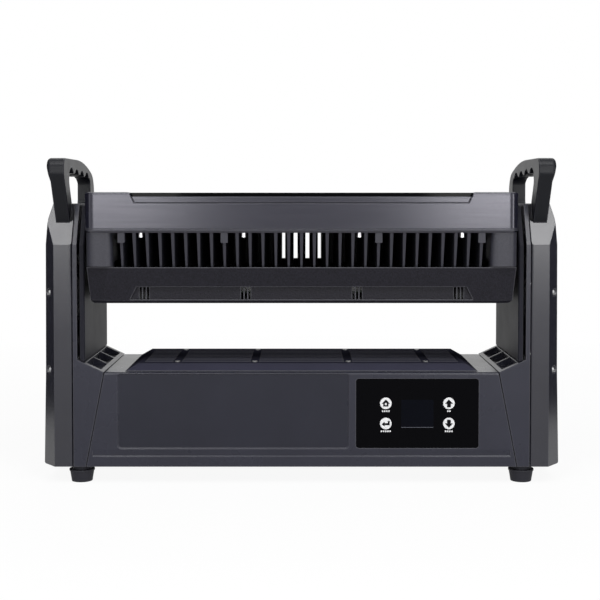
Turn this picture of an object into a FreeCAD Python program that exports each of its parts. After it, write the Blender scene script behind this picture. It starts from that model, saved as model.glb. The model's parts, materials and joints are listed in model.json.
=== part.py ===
import FreeCAD, Part
import math
import os

# Stage light: a strobe and wash panel that tilts in a motor-driven yoke.
# Millimetres. X to the right as seen from the control panel, Y away from the viewer, Z up.
# Origin: on the floor, under the middle of the light. The head is stored face up.

# Head
HEAD_WIDTH = 435.4
HEAD_DEPTH = 206.0
BEZEL_HEIGHT = 40.6
BEZEL_CORNER = 11.0
BEZEL_RIM = 13.0
BEZEL_TOP_EDGE = 2.2
BEZEL_FOOT_EDGE = 2.6
BEZEL_GROOVE = 0.7
BEZEL_GROOVE_RISE = 3.4
NOTCH_DEPTH = 11.2
NOTCH_RECESS = 2.0
NOTCH_TOP_WIDTH = 345.0
NOTCH_END_RUN = 5.5
NOTCH_GROOVE = 0.9
NOTCH_GROOVE_DEPTH = 1.5
LENS_THICKNESS = 4.0
LENS_SEAT = 4.0
LENS_SINK = 0.5
LENS_GAP = 0.4
GASKET_THICKNESS = 1.0
FIN_HEIGHT = 35.0
FIN_COUNT = 29
FIN_END_ROOM = 24.4
FIN_ROOT = 3.4
FIN_TIP = 2.0
FIN_ROOT_SETBACK = 3.0
FIN_TIP_SETBACK = 12.5
FIN_CORE = 8.4
FIN_CORE_DEPTH = 90.0
FIN_CORE_BLEND = 34.0
FIN_WEB = 6.0
FIN_OPEN_GAPS = 2
FIN_BOSS_WIDTH = 7.0
FIN_BOSS_DEPTH = 9.0
FIN_BOSS_HEIGHT = 10.0
BOSSED_FINS = (6, 14)
SCREW_GAPS = (4, 12)
SINK_PLATE = 7.0
SINK_GAP = 0.4
END_WIDTH = 27.5
END_POST_ROUND = 7.0
END_WALL = 5.0
END_POST_DEPTH = 16.0
END_SETBACK = 4.0
END_SIDE_DRAFT = 0.5
END_FOOT_SETBACK = 7.0
END_TOP_CORNER = 10.0
END_BOTTOM_CORNER = 10.0
END_GROOVE = 1.0
END_GROOVE_DEPTH = 6.0
REAR_COVER_HEIGHT = 37.2
REAR_COVER_SETBACK = 10.0
REAR_COVER_DRAFT_X = 2.5
REAR_COVER_DRAFT_Y = 10.0
REAR_CORNER_WIDTH = 23.6
REAR_CORNER_FOOT_WIDTH = 13.7
REAR_CORNER_DEPTH = 5.0
REAR_RECESS_HEIGHT = 17.0
REAR_RECESS_DEPTH = 5.0
REAR_RECESS_WIDTH = 334.0
REAR_RECESS_END_RUN = 7.0
REAR_LIP = 4.0
REAR_FOOT_EDGE = 3.0
CHANNEL_SLOT = 2.4
CHANNEL_RIB = 1.3
CHANNEL_SLOTS = 3
CHANNEL_INSET = 1.5
PIVOT_RISE = 2.0
SWING_CLEARANCE = 4.2
HEAD_SIDE_GAP = 4.8

# Light engine
LED_BOARD_THICKNESS = 1.6
LED_BOARD_MARGIN = 1.4
OPTIC_COLUMNS = 14
OPTIC_ROWS = 2
OPTIC_BASE_RADIUS = 6.0
OPTIC_TOP_RADIUS = 11.6
OPTIC_HEIGHT = 12.0
STROBE_OUTER = 34.0
STROBE_MOUTH = 29.0
STROBE_SLOT = 10.0
STROBE_HEIGHT = 20.0
STROBE_MARGIN = 6.0
EMITTER_COUNT = 20
EMITTER_LENGTH = 8.0
EMITTER_WIDTH = 6.0
EMITTER_HEIGHT = 1.2

# Cooling fans
FAN_SIZE = 80.0
FAN_DEPTH = 25.0
FAN_PITCH = 122.0
FAN_CORNER = 5.0
FAN_TIP_GAP = 1.0
FAN_RING = 2.0
FAN_HUB = 19.0
FAN_BLADES = 7
FAN_BLADE = 2.0
FAN_AXLE = 3.0
FAN_AXLE_GAP = 0.05
FAN_FLOOR = 3.0
FAN_END_GAP = 1.0
FAN_SPOKE = 5.0
FAN_BLADE_TURN = 42.0
GUARD_RIB = 3.0
GUARD_SLOT = 9.0
GUARD_RINGS = 3
BASE_FAN_SIZE = 60.0
BASE_FAN_DEPTH = 20.0
BASE_FAN_X = 72.0
DRIVER_WIDTH = 30.0
DRIVER_LENGTH = 116.0
DRIVER_LIFT = 6.0
BOARD_THICKNESS = 1.6
BOARD_LEG = 3.0

# Base
FOOT_HEIGHT = 17.4
FOOT_TOP_RADIUS = 13.1
FOOT_BOTTOM_RADIUS = 10.7
FOOT_RIM = 1.6
FOOT_RIM_STEP = 0.6
FOOT_NECK = 4.9
FOOT_NECK_RADIUS = 9.5
FOOT_BORE = 3.2
FOOT_FROM_SEAM = 6.0
FOOT_FROM_FRONT = 16.0
BASE_HEIGHT = 97.4
BASE_DEPTH = 146.0
BASE_EDGE = 2.5
WALL = 3.0
SEAM_GAP = 0.8
GUSSET_RUN = 20.3
GUSSET_RISE = 15.0
SEAM_LEAN = 19.0
TRAY_THICKNESS = 2.0
CREASE_HEIGHT = 10.4
CREASE = 0.9
CREASE_RISE = 1.2
CREASE_FADE = 6.0
CREASE_END_IN = 4.5
FIELD_LEFT = 14.0
FIELD_WIDTH = 236.0
FIELD_TOP = 1.8
FIELD_HEIGHT = 76.0
FIELD_SINK = 1.4
FIELD_CORNER = 3.0
FIELD_EDGE = 1.3
FIELD_EDGE_SINK = 1.0

# Vent cover on the base
VENT_RISE = 7.2
VENT_FLANGE_IN = 20.0
VENT_SIDE_RUN = 12.5
VENT_FRONT_IN = 8.0
VENT_FRONT_RUN = 8.0
VENT_REAR_IN = 6.0
VENT_REAR_RUN = 3.0
VENT_WALL = 2.4
VENT_SEAT = 5.0
VENT_SLOT = 4.6
VENT_SLOT_PITCH = 11.4
VENT_LIP = 1.4
VENT_LIP_RISE = 1.0
VENT_SLOT_MARGIN = 6.0
VENT_RIB = 9.0
VENT_SCREW_X = (-130.0, -49.0, 49.0, 130.0)
VENT_SCREW_IN = 12.0
GUSSET_POCKETS = 3
GUSSET_POCKET = 42.0
GUSSET_RIB = 3.0
GUSSET_RIM = 4.0

# Control panel
PANEL_WIDTH = 125.4
PANEL_HEIGHT = 71.0
PANEL_RIGHT_IN = 20.5
PANEL_FROM_TOP = 6.8
PANEL_GLASS = 1.9
PANEL_SINK = 0.2
PANEL_GAP = 0.3
PANEL_CORNER = 2.5
PANEL_LEDGE = 11.0
KEY_RADIUS = 6.0
KEY_GAP = 0.25
KEY_PITCH_X = 64.8
KEY_PITCH_Z = 20.8
KEY_PROUD = 0.5
KEY_FLANGE = 1.6
KEY_FLANGE_DEPTH = 1.2
KEY_STEM_RADIUS = 1.8
KEY_STEM = 2.0
KEY_TRAVEL = 0.8
KEY_SEAT_GAP = 0.05
KEY_END_GAP = 0.3
SWITCH_SIZE = 6.0
SWITCH_HEIGHT = 3.4
DISPLAY_WIDTH = 42.0
DISPLAY_HEIGHT = 37.0
BOARD_MARGIN = 6.0
POST_RADIUS = 3.0

# Yoke arms
ARM_ABOVE_PIVOT = 44.2
ARM_SHOULDER_DROP = 42.0
ARM_SHOULDER_RUN = 19.5
ARM_PANEL = 5.0
ARM_PANEL_WALL = 2.4
ARM_PANEL_SETBACK = 2.0
ARM_PANEL_EDGE = 1.2
ARM_PANEL_LIFT = 0.8
PANEL_BOSS_RADIUS = 5.0
PANEL_BOSS_Y = 44.0
PANEL_BOSS_SPREAD = 30.0
GROOVE = 2.6
LIP_WIDTH = 4.4
SHELL_WALL = 2.4
COVER_WIDTH = 29.9
COVER_FLARE = 2.7
COVER_TUCK_START = 0.9
COVER_TUCK_MIDDLE = 4.2
COVER_TOP_TUCK = 7.8
COVER_FACE = 18.5
COVER_CHAMFER = 18.0
COVER_EDGE = 2.2
COVER_FLARE_HEIGHT = 98.0
COVER_BOTTOM_EDGE = 2.5
COVER_TUCK_HEIGHT = 42.0
COVER_SCREW_RADIUS = 3.2
COVER_SCREW_SINK = 2.6
COVER_SCREW_HEAD = 1.6
COVER_SCREW_FROM_FRONT = 9.0
COVER_SCREW_HEIGHTS = (99.1, 179.1)
COVER_NOTCH_DROP = 18.0
COVER_NOTCH_DEPTH = 24.0
COVER_NOTCH_ROUND = 4.5
SHAFT_RADIUS = 11.0
SHAFT_BORE = 7.0
SHAFT_WAY = 2.5
SHAFT_TAIL = 1.0

# Carrying handles
HANDLE_IN = 3.2
HANDLE_LEG_WIDTH = 14.4
HANDLE_GRIP_WIDTH = 18.0
HANDLE_RISE = 46.5
HANDLE_NOSE_DROP = 17.0
HANDLE_CAP_DROP = 6.0
HANDLE_FRONT_REACH = 92.5
HANDLE_REAR_REACH = 83.0
HANDLE_FOOT_FRONT = 56.2
HANDLE_FOOT_REAR = 62.0
HANDLE_FOOT_DROP = 30.0
HANDLE_BEND_RISE = 3.0
HANDLE_LEG = 24.0
HANDLE_NOSE_BACK = 5.0
HANDLE_REAR_LEG = 25.0
HANDLE_FALL_START = 20.0
HANDLE_WIDE = 8.0
HANDLE_WIDE_RUN = 16.0
HANDLE_INNER_EDGE = 1.0
HANDLE_OUTER_EDGE = 4.0
HANDLE_GRIP = 13.8
HANDLE_GRIP_FALL = 4.6
HANDLE_REAR_FALL = 16.9
HANDLE_NOSE_ROUND = 8.5
HANDLE_REAR_ROUND = 24.0
HANDLE_INNER_ROUND = 8.0
HANDLE_TOP_ROUND = 300.0
FINGER_COUNT = 4
FINGER_PITCH = 29.8
FINGER_RADIUS = 15.0
FINGER_DEPTH = 5.4
FINGER_CENTRE = -8.0

# Yoke drive
UPRIGHT_IN = 1.2
UPRIGHT = 3.0
UPRIGHT_DEPTH = 84.0
UPRIGHT_FOOT = 30.0
BUSH_WIDTH = 7.0
BUSH_WALL = 4.0
BUSH_GAP = 0.04
BUSH_SEAT_GAP = 0.02
BUSH_BOSS = 5.0
FLANGE_MARGIN = 0.8
FLANGE = 5.0
FLANGE_GAP = 0.3
PULLEY_GAP = 1.0
PULLEY_WIDTH = 9.0
PULLEY_RIM = 1.2
BELT_GAP = 0.15
BELT = 1.5
BIG_TEETH = 60
SMALL_TEETH = 16
TOOTH_PITCH = 3.0
TOOTH_DEPTH = 0.9
RIM_HEIGHT = 1.4
MOTOR_SIZE = 42.0
MOTOR_LENGTH = 38.0
MOTOR_CORNER = 4.0
MOTOR_LIFT = 48.0
MOTOR_SHAFT = 2.5
MOTOR_SHAFT_GAP = 0.05
MOTOR_SHAFT_DEPTH = 20.0
MOTOR_PILOT = 11.0
MOTOR_PILOT_HEIGHT = 2.0
SENSOR_WIDTH = 18.0
SENSOR_HEIGHT = 24.0
SENSOR_DROP = 52.0
SENSOR_BODY = 3.0

# Power and data
SUPPLY_LENGTH = 214.0
SUPPLY_DEPTH = 64.0
SUPPLY_HEIGHT = 42.0
SUPPLY_LEFT_IN = 28.0
MAIN_BOARD_LENGTH = 66.0
MAIN_BOARD_DEPTH = 70.0
MAIN_BOARD_LIFT = 7.0
MAIN_BOARD_X = 138.0
SOCKET_LIFT = 52.0
POWER_IN_X = -150.0
POWER_OUT_X = -102.0
FUSE_X = -62.0
DATA_IN_X = 96.0
DATA_OUT_X = 142.0
SOCKET_FLANGE_WIDTH = 28.0
SOCKET_FLANGE_HEIGHT = 33.0
SOCKET_FLANGE = 2.4
SOCKET_CORNER = 3.0
SOCKET_BARREL = 11.8
SOCKET_LENGTH = 22.0
SOCKET_GAP = 0.3
POWER_BORE = 9.6
POWER_BORE_DEPTH = 16.0
DATA_BORE = 8.2
DATA_BORE_DEPTH = 12.0
CONTACT_RADIUS = 1.3
CONTACT_CIRCLE = 4.1
CONTACT_DEPTH = 8.0
FUSE_RADIUS = 6.5
FUSE_CAP = 8.5
FUSE_LENGTH = 30.0
FUSE_CAP_HEIGHT = 7.0
FUSE_CAP_EDGE = 0.9
EYE_WIDTH = 32.0
EYE_THICKNESS = 4.0
EYE_REACH = 26.0
EYE_LENGTH = 58.0
EYE_RADIUS = 7.5
EYE_GAP = 0.4
EYE_TIP_FLAT = 2.0
BRACKET_SPACING_X = 240.0
BRACKET_SPACING_Y = 98.0
BRACKET_BORE = 5.3
BRACKET_RADIUS = 11.0
BRACKET_HEIGHT = 3.0
SCREW_HEAD = 2.8
SCREW_HEAD_HEIGHT = 4.6
VENT_SCREW_HEAD = 2.8
VENT_SCREW_HEIGHT = 0.9

# Heights
base_bottom = FOOT_HEIGHT
base_top = base_bottom + BASE_HEIGHT
tray_top = base_bottom + TRAY_THICKNESS
vent_top = base_top + VENT_RISE
head_above_pivot = FIN_HEIGHT / 2 - PIVOT_RISE + BEZEL_HEIGHT
swing_radius = math.hypot(HEAD_DEPTH / 2, head_above_pivot)
pivot_z = vent_top + swing_radius + SWING_CLEARANCE
fin_bottom = pivot_z - PIVOT_RISE - FIN_HEIGHT / 2
bezel_bottom = fin_bottom + FIN_HEIGHT
bezel_top = bezel_bottom + BEZEL_HEIGHT
head_bottom = fin_bottom - REAR_COVER_HEIGHT
arm_top = pivot_z + ARM_ABOVE_PIVOT
handle_top = arm_top + HANDLE_RISE
motor_z = base_bottom + MOTOR_LIFT

# Widths, from the middle outwards on the right-hand side
head_x = HEAD_WIDTH / 2
head_y = HEAD_DEPTH / 2
arm_face = head_x + HEAD_SIDE_GAP
panel_back = arm_face + ARM_PANEL
lip_edge = panel_back + GROOVE
seam = lip_edge + LIP_WIDTH
cover_in = seam + SEAM_GAP
cover_out = cover_in + COVER_WIDTH
cover_foot_out = cover_out + COVER_FLARE
base_top_x = arm_face - GUSSET_RUN
base_foot_x = base_top_x + SEAM_LEAN
base_y = BASE_DEPTH / 2
upright_in = seam + UPRIGHT_IN
upright_out = upright_in + UPRIGHT
bush_out = upright_in + BUSH_WIDTH
pulley_in = bush_out + PULLEY_GAP
pulley_out = pulley_in + PULLEY_WIDTH + 2 * PULLEY_RIM
shaft_end = pulley_out + SHAFT_TAIL
post_x = head_x - END_WIDTH
fin_pitch = 2 * (head_x - FIN_END_ROOM) / (FIN_COUNT + 1)
shaft_hole = SHAFT_RADIUS + SHAFT_WAY
lens_bottom = bezel_top - LENS_SINK - LENS_THICKNESS
lens_ledge = lens_bottom - GASKET_THICKNESS
plate_top = bezel_bottom + SINK_PLATE
led_top = plate_top + LED_BOARD_THICKNESS
end_bottom_x = head_x - END_SIDE_DRAFT
end_bottom_y = head_y - END_FOOT_SETBACK
rear_cover_y = head_y - REAR_COVER_SETBACK
cover_floor = head_bottom + WALL
gusset_slope = GUSSET_RISE / (seam - base_top_x)
flange_radius = FIN_HEIGHT / 2 - PIVOT_RISE - FLANGE_MARGIN
handle_in = cover_in + HANDLE_IN
big_radius = BIG_TEETH * TOOTH_PITCH / (2 * math.pi)
small_radius = SMALL_TEETH * TOOTH_PITCH / (2 * math.pi)
OVER = 10.0


def vec(x, y, z):
    return FreeCAD.Vector(x, y, z)


def box(x0, x1, y0, y1, z0, z1):
    """Box between two opposite corners."""
    return Part.makeBox(x1 - x0, y1 - y0, z1 - z0, vec(x0, y0, z0))


def rod_x(x0, x1, y, z, radius):
    return Part.makeCylinder(radius, x1 - x0, vec(x0, y, z), vec(1, 0, 0))


def rod_y(x, y0, y1, z, radius):
    return Part.makeCylinder(radius, y1 - y0, vec(x, y0, z), vec(0, 1, 0))


def rod_z(x, y, z0, z1, radius):
    return Part.makeCylinder(radius, z1 - z0, vec(x, y, z0), vec(0, 0, 1))


def rounded_wire(points, radii):
    """Closed wire through points, each corner rounded by its radius."""
    count = len(points)
    starts = []
    ends = []
    mids = []
    for index in range(count):
        corner = points[index]
        back = (points[index - 1] - corner).normalize()
        ahead = (points[(index + 1) % count] - corner).normalize()
        half = math.acos(max(-1.0, min(1.0, back.dot(ahead)))) / 2
        reach = radii[index] / math.tan(half)
        bisector = (back + ahead).normalize() if radii[index] > 0 else vec(0, 0, 0)
        centre = corner + bisector * (radii[index] / math.sin(half))
        starts.append(corner + back * reach)
        ends.append(corner + ahead * reach)
        mids.append(centre - bisector * radii[index])
    edges = []
    for index in range(count):
        if radii[index] > 0:
            edges.append(Part.Arc(starts[index], mids[index], ends[index]).toShape())
        following = starts[(index + 1) % count]
        if ends[index].distanceToPoint(following) > 1e-6:
            edges.append(Part.makeLine(ends[index], following))
    return Part.Wire(edges)


def wire_of(points, radius=0.0):
    radii = radius if isinstance(radius, (list, tuple)) else [radius] * len(points)
    return rounded_wire(points, radii)


def along_x(outline, x0, x1, radius=0.0):
    """Solid from a (y, z) outline, swept from x0 to x1."""
    wire = wire_of([vec(x0, y, z) for y, z in outline], radius)
    return Part.Face(wire).extrude(vec(x1 - x0, 0, 0))


def along_y(outline, y0, y1, radius=0.0):
    """Solid from an (x, z) outline, swept from y0 to y1."""
    wire = wire_of([vec(x, y0, z) for x, z in outline], radius)
    return Part.Face(wire).extrude(vec(0, y1 - y0, 0))


def along_z(outline, z0, z1, radius=0.0):
    """Solid from an (x, y) outline, swept from z0 to z1."""
    wire = wire_of([vec(x, y, z0) for x, y in outline], radius)
    return Part.Face(wire).extrude(vec(0, 0, z1 - z0))


def rectangle(x, y):
    return [(-x, -y), (x, -y), (x, y), (-x, y)]


def cut_rectangle(x, y, cx, cy):
    """Rectangle with its four corners cut off by cx along x and cy along y."""
    return [
        (-x + cx, -y), (x - cx, -y), (x, -y + cy), (x, y - cy),
        (x - cx, y), (-x + cx, y), (-x, y - cy), (-x, -y + cy),
    ]


def slab(x, y, z0, z1, corner):
    """Plate centred on the Z axis with rounded corners."""
    return along_z(rectangle(x, y), z0, z1, corner)


def loft(lower, lower_z, upper, upper_z, lower_radius=0.0, upper_radius=0.0):
    """Solid between two (x, y) outlines with as many corners."""
    first = wire_of([vec(x, y, lower_z) for x, y in lower], lower_radius)
    second = wire_of([vec(x, y, upper_z) for x, y in upper], upper_radius)
    return Part.makeLoft([first, second], True, True)


def inset(outline, distance):
    """Outline moved inwards by a distance; its points run anticlockwise."""
    count = len(outline)
    lines = []
    for index in range(count):
        x0, y0 = outline[index]
        x1, y1 = outline[(index + 1) % count]
        length = math.hypot(x1 - x0, y1 - y0)
        normal = (-(y1 - y0) / length, (x1 - x0) / length)
        lines.append((normal, normal[0] * x0 + normal[1] * y0 + distance))
    moved = []
    for index in range(count):
        (a, b), c = lines[index - 1]
        (d, e), f = lines[index]
        det = a * e - b * d
        moved.append(((c * e - b * f) / det, (a * f - c * d) / det))
    return moved


def mirrored(shape):
    return shape.mirror(vec(0, 0, 0), vec(1, 0, 0))


def group(shapes):
    return Part.makeCompound(shapes)


def join(first, *others):
    return first.multiFuse(list(others)).removeSplitter()


def cut(shape, *tools):
    return shape.cut(list(tools))


def edges_at(shape, test):
    """Edges whose every point passes a test of (x, y, z)."""
    found = []
    for edge in shape.Edges:
        middle = edge.valueAt((edge.FirstParameter + edge.LastParameter) / 2)
        points = [vertex.Point for vertex in edge.Vertexes] + [middle]
        if all(test(p.x, p.y, p.z) for p in points):
            found.append(edge)
    return found


def near(a, b):
    return abs(a - b) < 1e-4


def gusset_z(x):
    """Height of the sloping web between base and arm."""
    return base_top + (x - base_top_x) * gusset_slope


def fin_xs():
    half = FIN_COUNT // 2
    return [index * fin_pitch for index in range(-half, half + 1)]


def screw_xs():
    """Middles of the fin gaps that hold a screw."""
    right = [(gap + 0.5) * fin_pitch for gap in SCREW_GAPS]
    return [-x for x in reversed(right)] + right


# Base pieces

def rubber_feet():
    """Four rubber cups, each with a rim that stands a little below the base on a neck."""
    feet = []
    rim_top = FOOT_HEIGHT - FOOT_NECK
    x = seam - FOOT_FROM_SEAM
    y = base_y - FOOT_FROM_FRONT
    for sx in (-1, 1):
        for sy in (-1, 1):
            centre = vec(sx * x, sy * y, 0)
            cone_height = rim_top - FOOT_RIM
            cone = Part.makeCone(FOOT_BOTTOM_RADIUS, FOOT_TOP_RADIUS - FOOT_RIM_STEP, cone_height, centre)
            rim = rod_z(sx * x, sy * y, cone_height, rim_top, FOOT_TOP_RADIUS)
            neck = rod_z(sx * x, sy * y, cone_height, FOOT_HEIGHT, FOOT_NECK_RADIUS)
            bore = rod_z(sx * x, sy * y, 0, FOOT_HEIGHT / 2, FOOT_BORE)
            feet.append(cut(join(cone, rim, neck), bore))
    return group(feet)


def cover_plan(reach):
    """Plan of the right arm's outer cover, running back past the seam by reach."""
    face = cover_in + COVER_FACE
    return [
        (cover_in - reach, -base_y), (face, -base_y), (cover_foot_out, -base_y + COVER_CHAMFER),
        (cover_foot_out, base_y - COVER_CHAMFER), (face, base_y), (cover_in - reach, base_y),
    ]


def arm_profile(low):
    """Side view of an arm, from a height upwards."""
    flat = base_y - ARM_SHOULDER_RUN
    shoulder = arm_top - ARM_SHOULDER_DROP
    return [
        (-base_y, low), (base_y, low), (base_y, shoulder),
        (flat, arm_top), (-flat, arm_top), (-base_y, shoulder),
    ]


def cover_front(reach):
    """Front view of the right arm's outer cover."""
    flare_top = base_bottom + COVER_FLARE_HEIGHT
    tuck = arm_top - COVER_TUCK_HEIGHT
    foot = cover_foot_out + COVER_FLARE * reach / COVER_FLARE_HEIGHT
    return [
        (cover_in - reach, base_bottom - reach), (foot, base_bottom - reach),
        (cover_out, flare_top), (cover_out - COVER_TUCK_START, tuck),
        (cover_out - COVER_TUCK_MIDDLE, arm_top - COVER_TUCK_HEIGHT / 3),
        (cover_out - COVER_TOP_TUCK, arm_top), (cover_in - reach, arm_top),
    ]


def cover_block(wall, reach):
    """Right outer cover as a full block, shrunk by a wall."""
    plan = along_z(inset(cover_plan(reach), wall), base_bottom - reach, arm_top + OVER)
    side = along_x(inset(arm_profile(base_bottom - reach), wall), seam - reach, cover_foot_out + OVER)
    front = along_y(inset(cover_front(reach), wall), -base_y - OVER, base_y + OVER)
    return plan.common(side).common(front)


def cover_screw_places():
    """Y and Z of the outer cover's screws."""
    y = base_y - COVER_SCREW_FROM_FRONT
    heights = [base_bottom + rise for rise in COVER_SCREW_HEIGHTS]
    return [(side * y, z) for side in (-1, 1) for z in heights]


def cover_side_x(y):
    """Outer side of the cover's corner chamfer at a depth."""
    into = abs(y) - (base_y - COVER_CHAMFER)
    span = cover_foot_out - (cover_in + COVER_FACE)
    return cover_foot_out - span * into / COVER_CHAMFER


def handle_notch(grow):
    """Cut beside the handle's feet in the cover's two top facets."""
    left = cover_in - COVER_EDGE / 2
    right = handle_in + HANDLE_INNER_EDGE + grow
    low = arm_top - COVER_NOTCH_DROP - grow
    high = arm_top + OVER
    outline = [(left, low), (right, low), (right, high), (left, high)]
    deep = base_y - COVER_NOTCH_DEPTH - grow
    cuts = []
    for sign in (-1, 1):
        y0, y1 = sorted((sign * deep, sign * (base_y + OVER)))
        cuts.append(along_y(outline, y0, y1, [COVER_NOTCH_ROUND, 0, 0, 0]))
    return group(cuts)


def yoke_cover():
    room = cut(cover_block(WALL, 4 * WALL), handle_notch(WALL))
    shell = cut(cover_block(0.0, 0.0), room, handle_notch(0.0))
    front_edges = edges_at(shell, lambda x, y, z: near(x, cover_in) and near(abs(y), base_y))
    shell = shell.makeFillet(COVER_EDGE, front_edges)
    outer = edges_at(
        shell,
        lambda x, y, z: near(z, base_bottom) and x > cover_in + COVER_FACE and abs(y) < base_y
        and x > cover_side_x(max(abs(y), base_y - COVER_CHAMFER)) - WALL / 2,
    )
    shell = shell.makeChamfer(COVER_BOTTOM_EDGE / 2, outer)
    for y, z in cover_screw_places():
        sunk = cover_side_x(y) - COVER_SCREW_SINK
        boss = rod_x(sunk - 2 * WALL, sunk, y, z, COVER_SCREW_RADIUS + WALL)
        shell = join(shell, boss.common(cover_block(0.0, 0.0)))
        shell = cut(shell, rod_x(sunk, cover_foot_out + OVER, y, z, COVER_SCREW_RADIUS + SEAM_GAP))
    return shell


def yoke_screws():
    screws = []
    for y, z in cover_screw_places():
        sunk = cover_side_x(y) - COVER_SCREW_SINK
        head = rod_x(sunk, sunk + COVER_SCREW_HEAD, y, z, COVER_SCREW_RADIUS)
        screws.append(head)
        screws.append(mirrored(head))
    return group(screws)


def yoke_shell():
    """Inner moulding of the right side: the arm's inner wall and the base's corner."""
    low = base_top - WALL
    plate = along_x(arm_profile(low), seam - SHELL_WALL, seam)
    rim = cut(
        along_x(arm_profile(gusset_z(lip_edge)), lip_edge, seam),
        along_x(inset(arm_profile(gusset_z(lip_edge) - OVER), WALL), lip_edge - OVER, seam + OVER),
    )
    corner = [
        (base_foot_x + SEAM_GAP, base_bottom), (seam, base_bottom),
        (seam, gusset_z(seam)), (base_top_x + SEAM_GAP, gusset_z(base_top_x + SEAM_GAP)),
    ]
    drop = WALL * math.hypot(1.0, gusset_slope)
    hollow = [
        (base_top_x - OVER, base_bottom - OVER), (seam + OVER, base_bottom - OVER),
        (seam + OVER, gusset_z(seam + OVER) - drop), (base_top_x - OVER, gusset_z(base_top_x - OVER) - drop),
    ]
    web = cut(along_y(corner, -base_y, base_y), along_y(hollow, -base_y + WALL, base_y - WALL))
    span = GUSSET_POCKETS * GUSSET_POCKET + (GUSSET_POCKETS - 1) * GUSSET_RIB
    reach = span / 2 + WALL
    liner = box(base_top_x, arm_face + WALL, -reach, reach, base_top - WALL, base_top + GUSSET_RISE)
    shell = join(web, plate, rim, liner.common(along_y(corner, -base_y, base_y)))
    for index in range(GUSSET_POCKETS):
        y0 = -span / 2 + index * (GUSSET_POCKET + GUSSET_RIB)
        x0 = base_top_x + SEAM_GAP + GUSSET_RIM
        pocket = box(x0, arm_face, y0, y0 + GUSSET_POCKET, base_top, base_top + GUSSET_RISE)
        shell = cut(shell, pocket)
    way = rod_x(lip_edge - OVER, seam + OVER, 0, pivot_z, shaft_hole)
    room = box(
        seam - SHELL_WALL, seam + OVER, -base_y + WALL, base_y - WALL,
        base_bottom - OVER, gusset_z(seam - SHELL_WALL) - drop,
    )
    return cut(shell, way, room)


def arm_panel():
    """Flat pan that faces the head, held off the arm by four bosses."""
    low = gusset_z(arm_face) + ARM_PANEL_LIFT
    outline = inset(arm_profile(low - ARM_PANEL_SETBACK), ARM_PANEL_SETBACK)
    pan = along_x(outline, arm_face, panel_back)
    pan = pan.makeChamfer(ARM_PANEL_EDGE, edges_at(pan, lambda x, y, z: near(x, arm_face)))
    hollow = along_x(inset(outline, ARM_PANEL_WALL), arm_face + ARM_PANEL_WALL, panel_back + OVER)
    pan = cut(pan, hollow)
    bosses = []
    middle = (low + pivot_z) / 2
    for y in (-PANEL_BOSS_Y, PANEL_BOSS_Y):
        for z in (middle - PANEL_BOSS_SPREAD, middle + PANEL_BOSS_SPREAD):
            bosses.append(rod_x(arm_face + ARM_PANEL_WALL / 2, seam - SHELL_WALL, y, z, PANEL_BOSS_RADIUS))
    collar = rod_x(arm_face + ARM_PANEL_WALL / 2, panel_back, 0, pivot_z, shaft_hole + ARM_PANEL_WALL)
    pan = join(pan, collar, *bosses)
    under = [
        (base_top_x, gusset_z(base_top_x) + ARM_PANEL_LIFT), (base_top_x, base_bottom),
        (seam, base_bottom), (seam, gusset_z(seam) + ARM_PANEL_LIFT),
    ]
    pan = cut(pan, along_y(under, -base_y, base_y))
    return cut(pan, rod_x(arm_face - OVER, panel_back + OVER, 0, pivot_z, shaft_hole))


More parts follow.
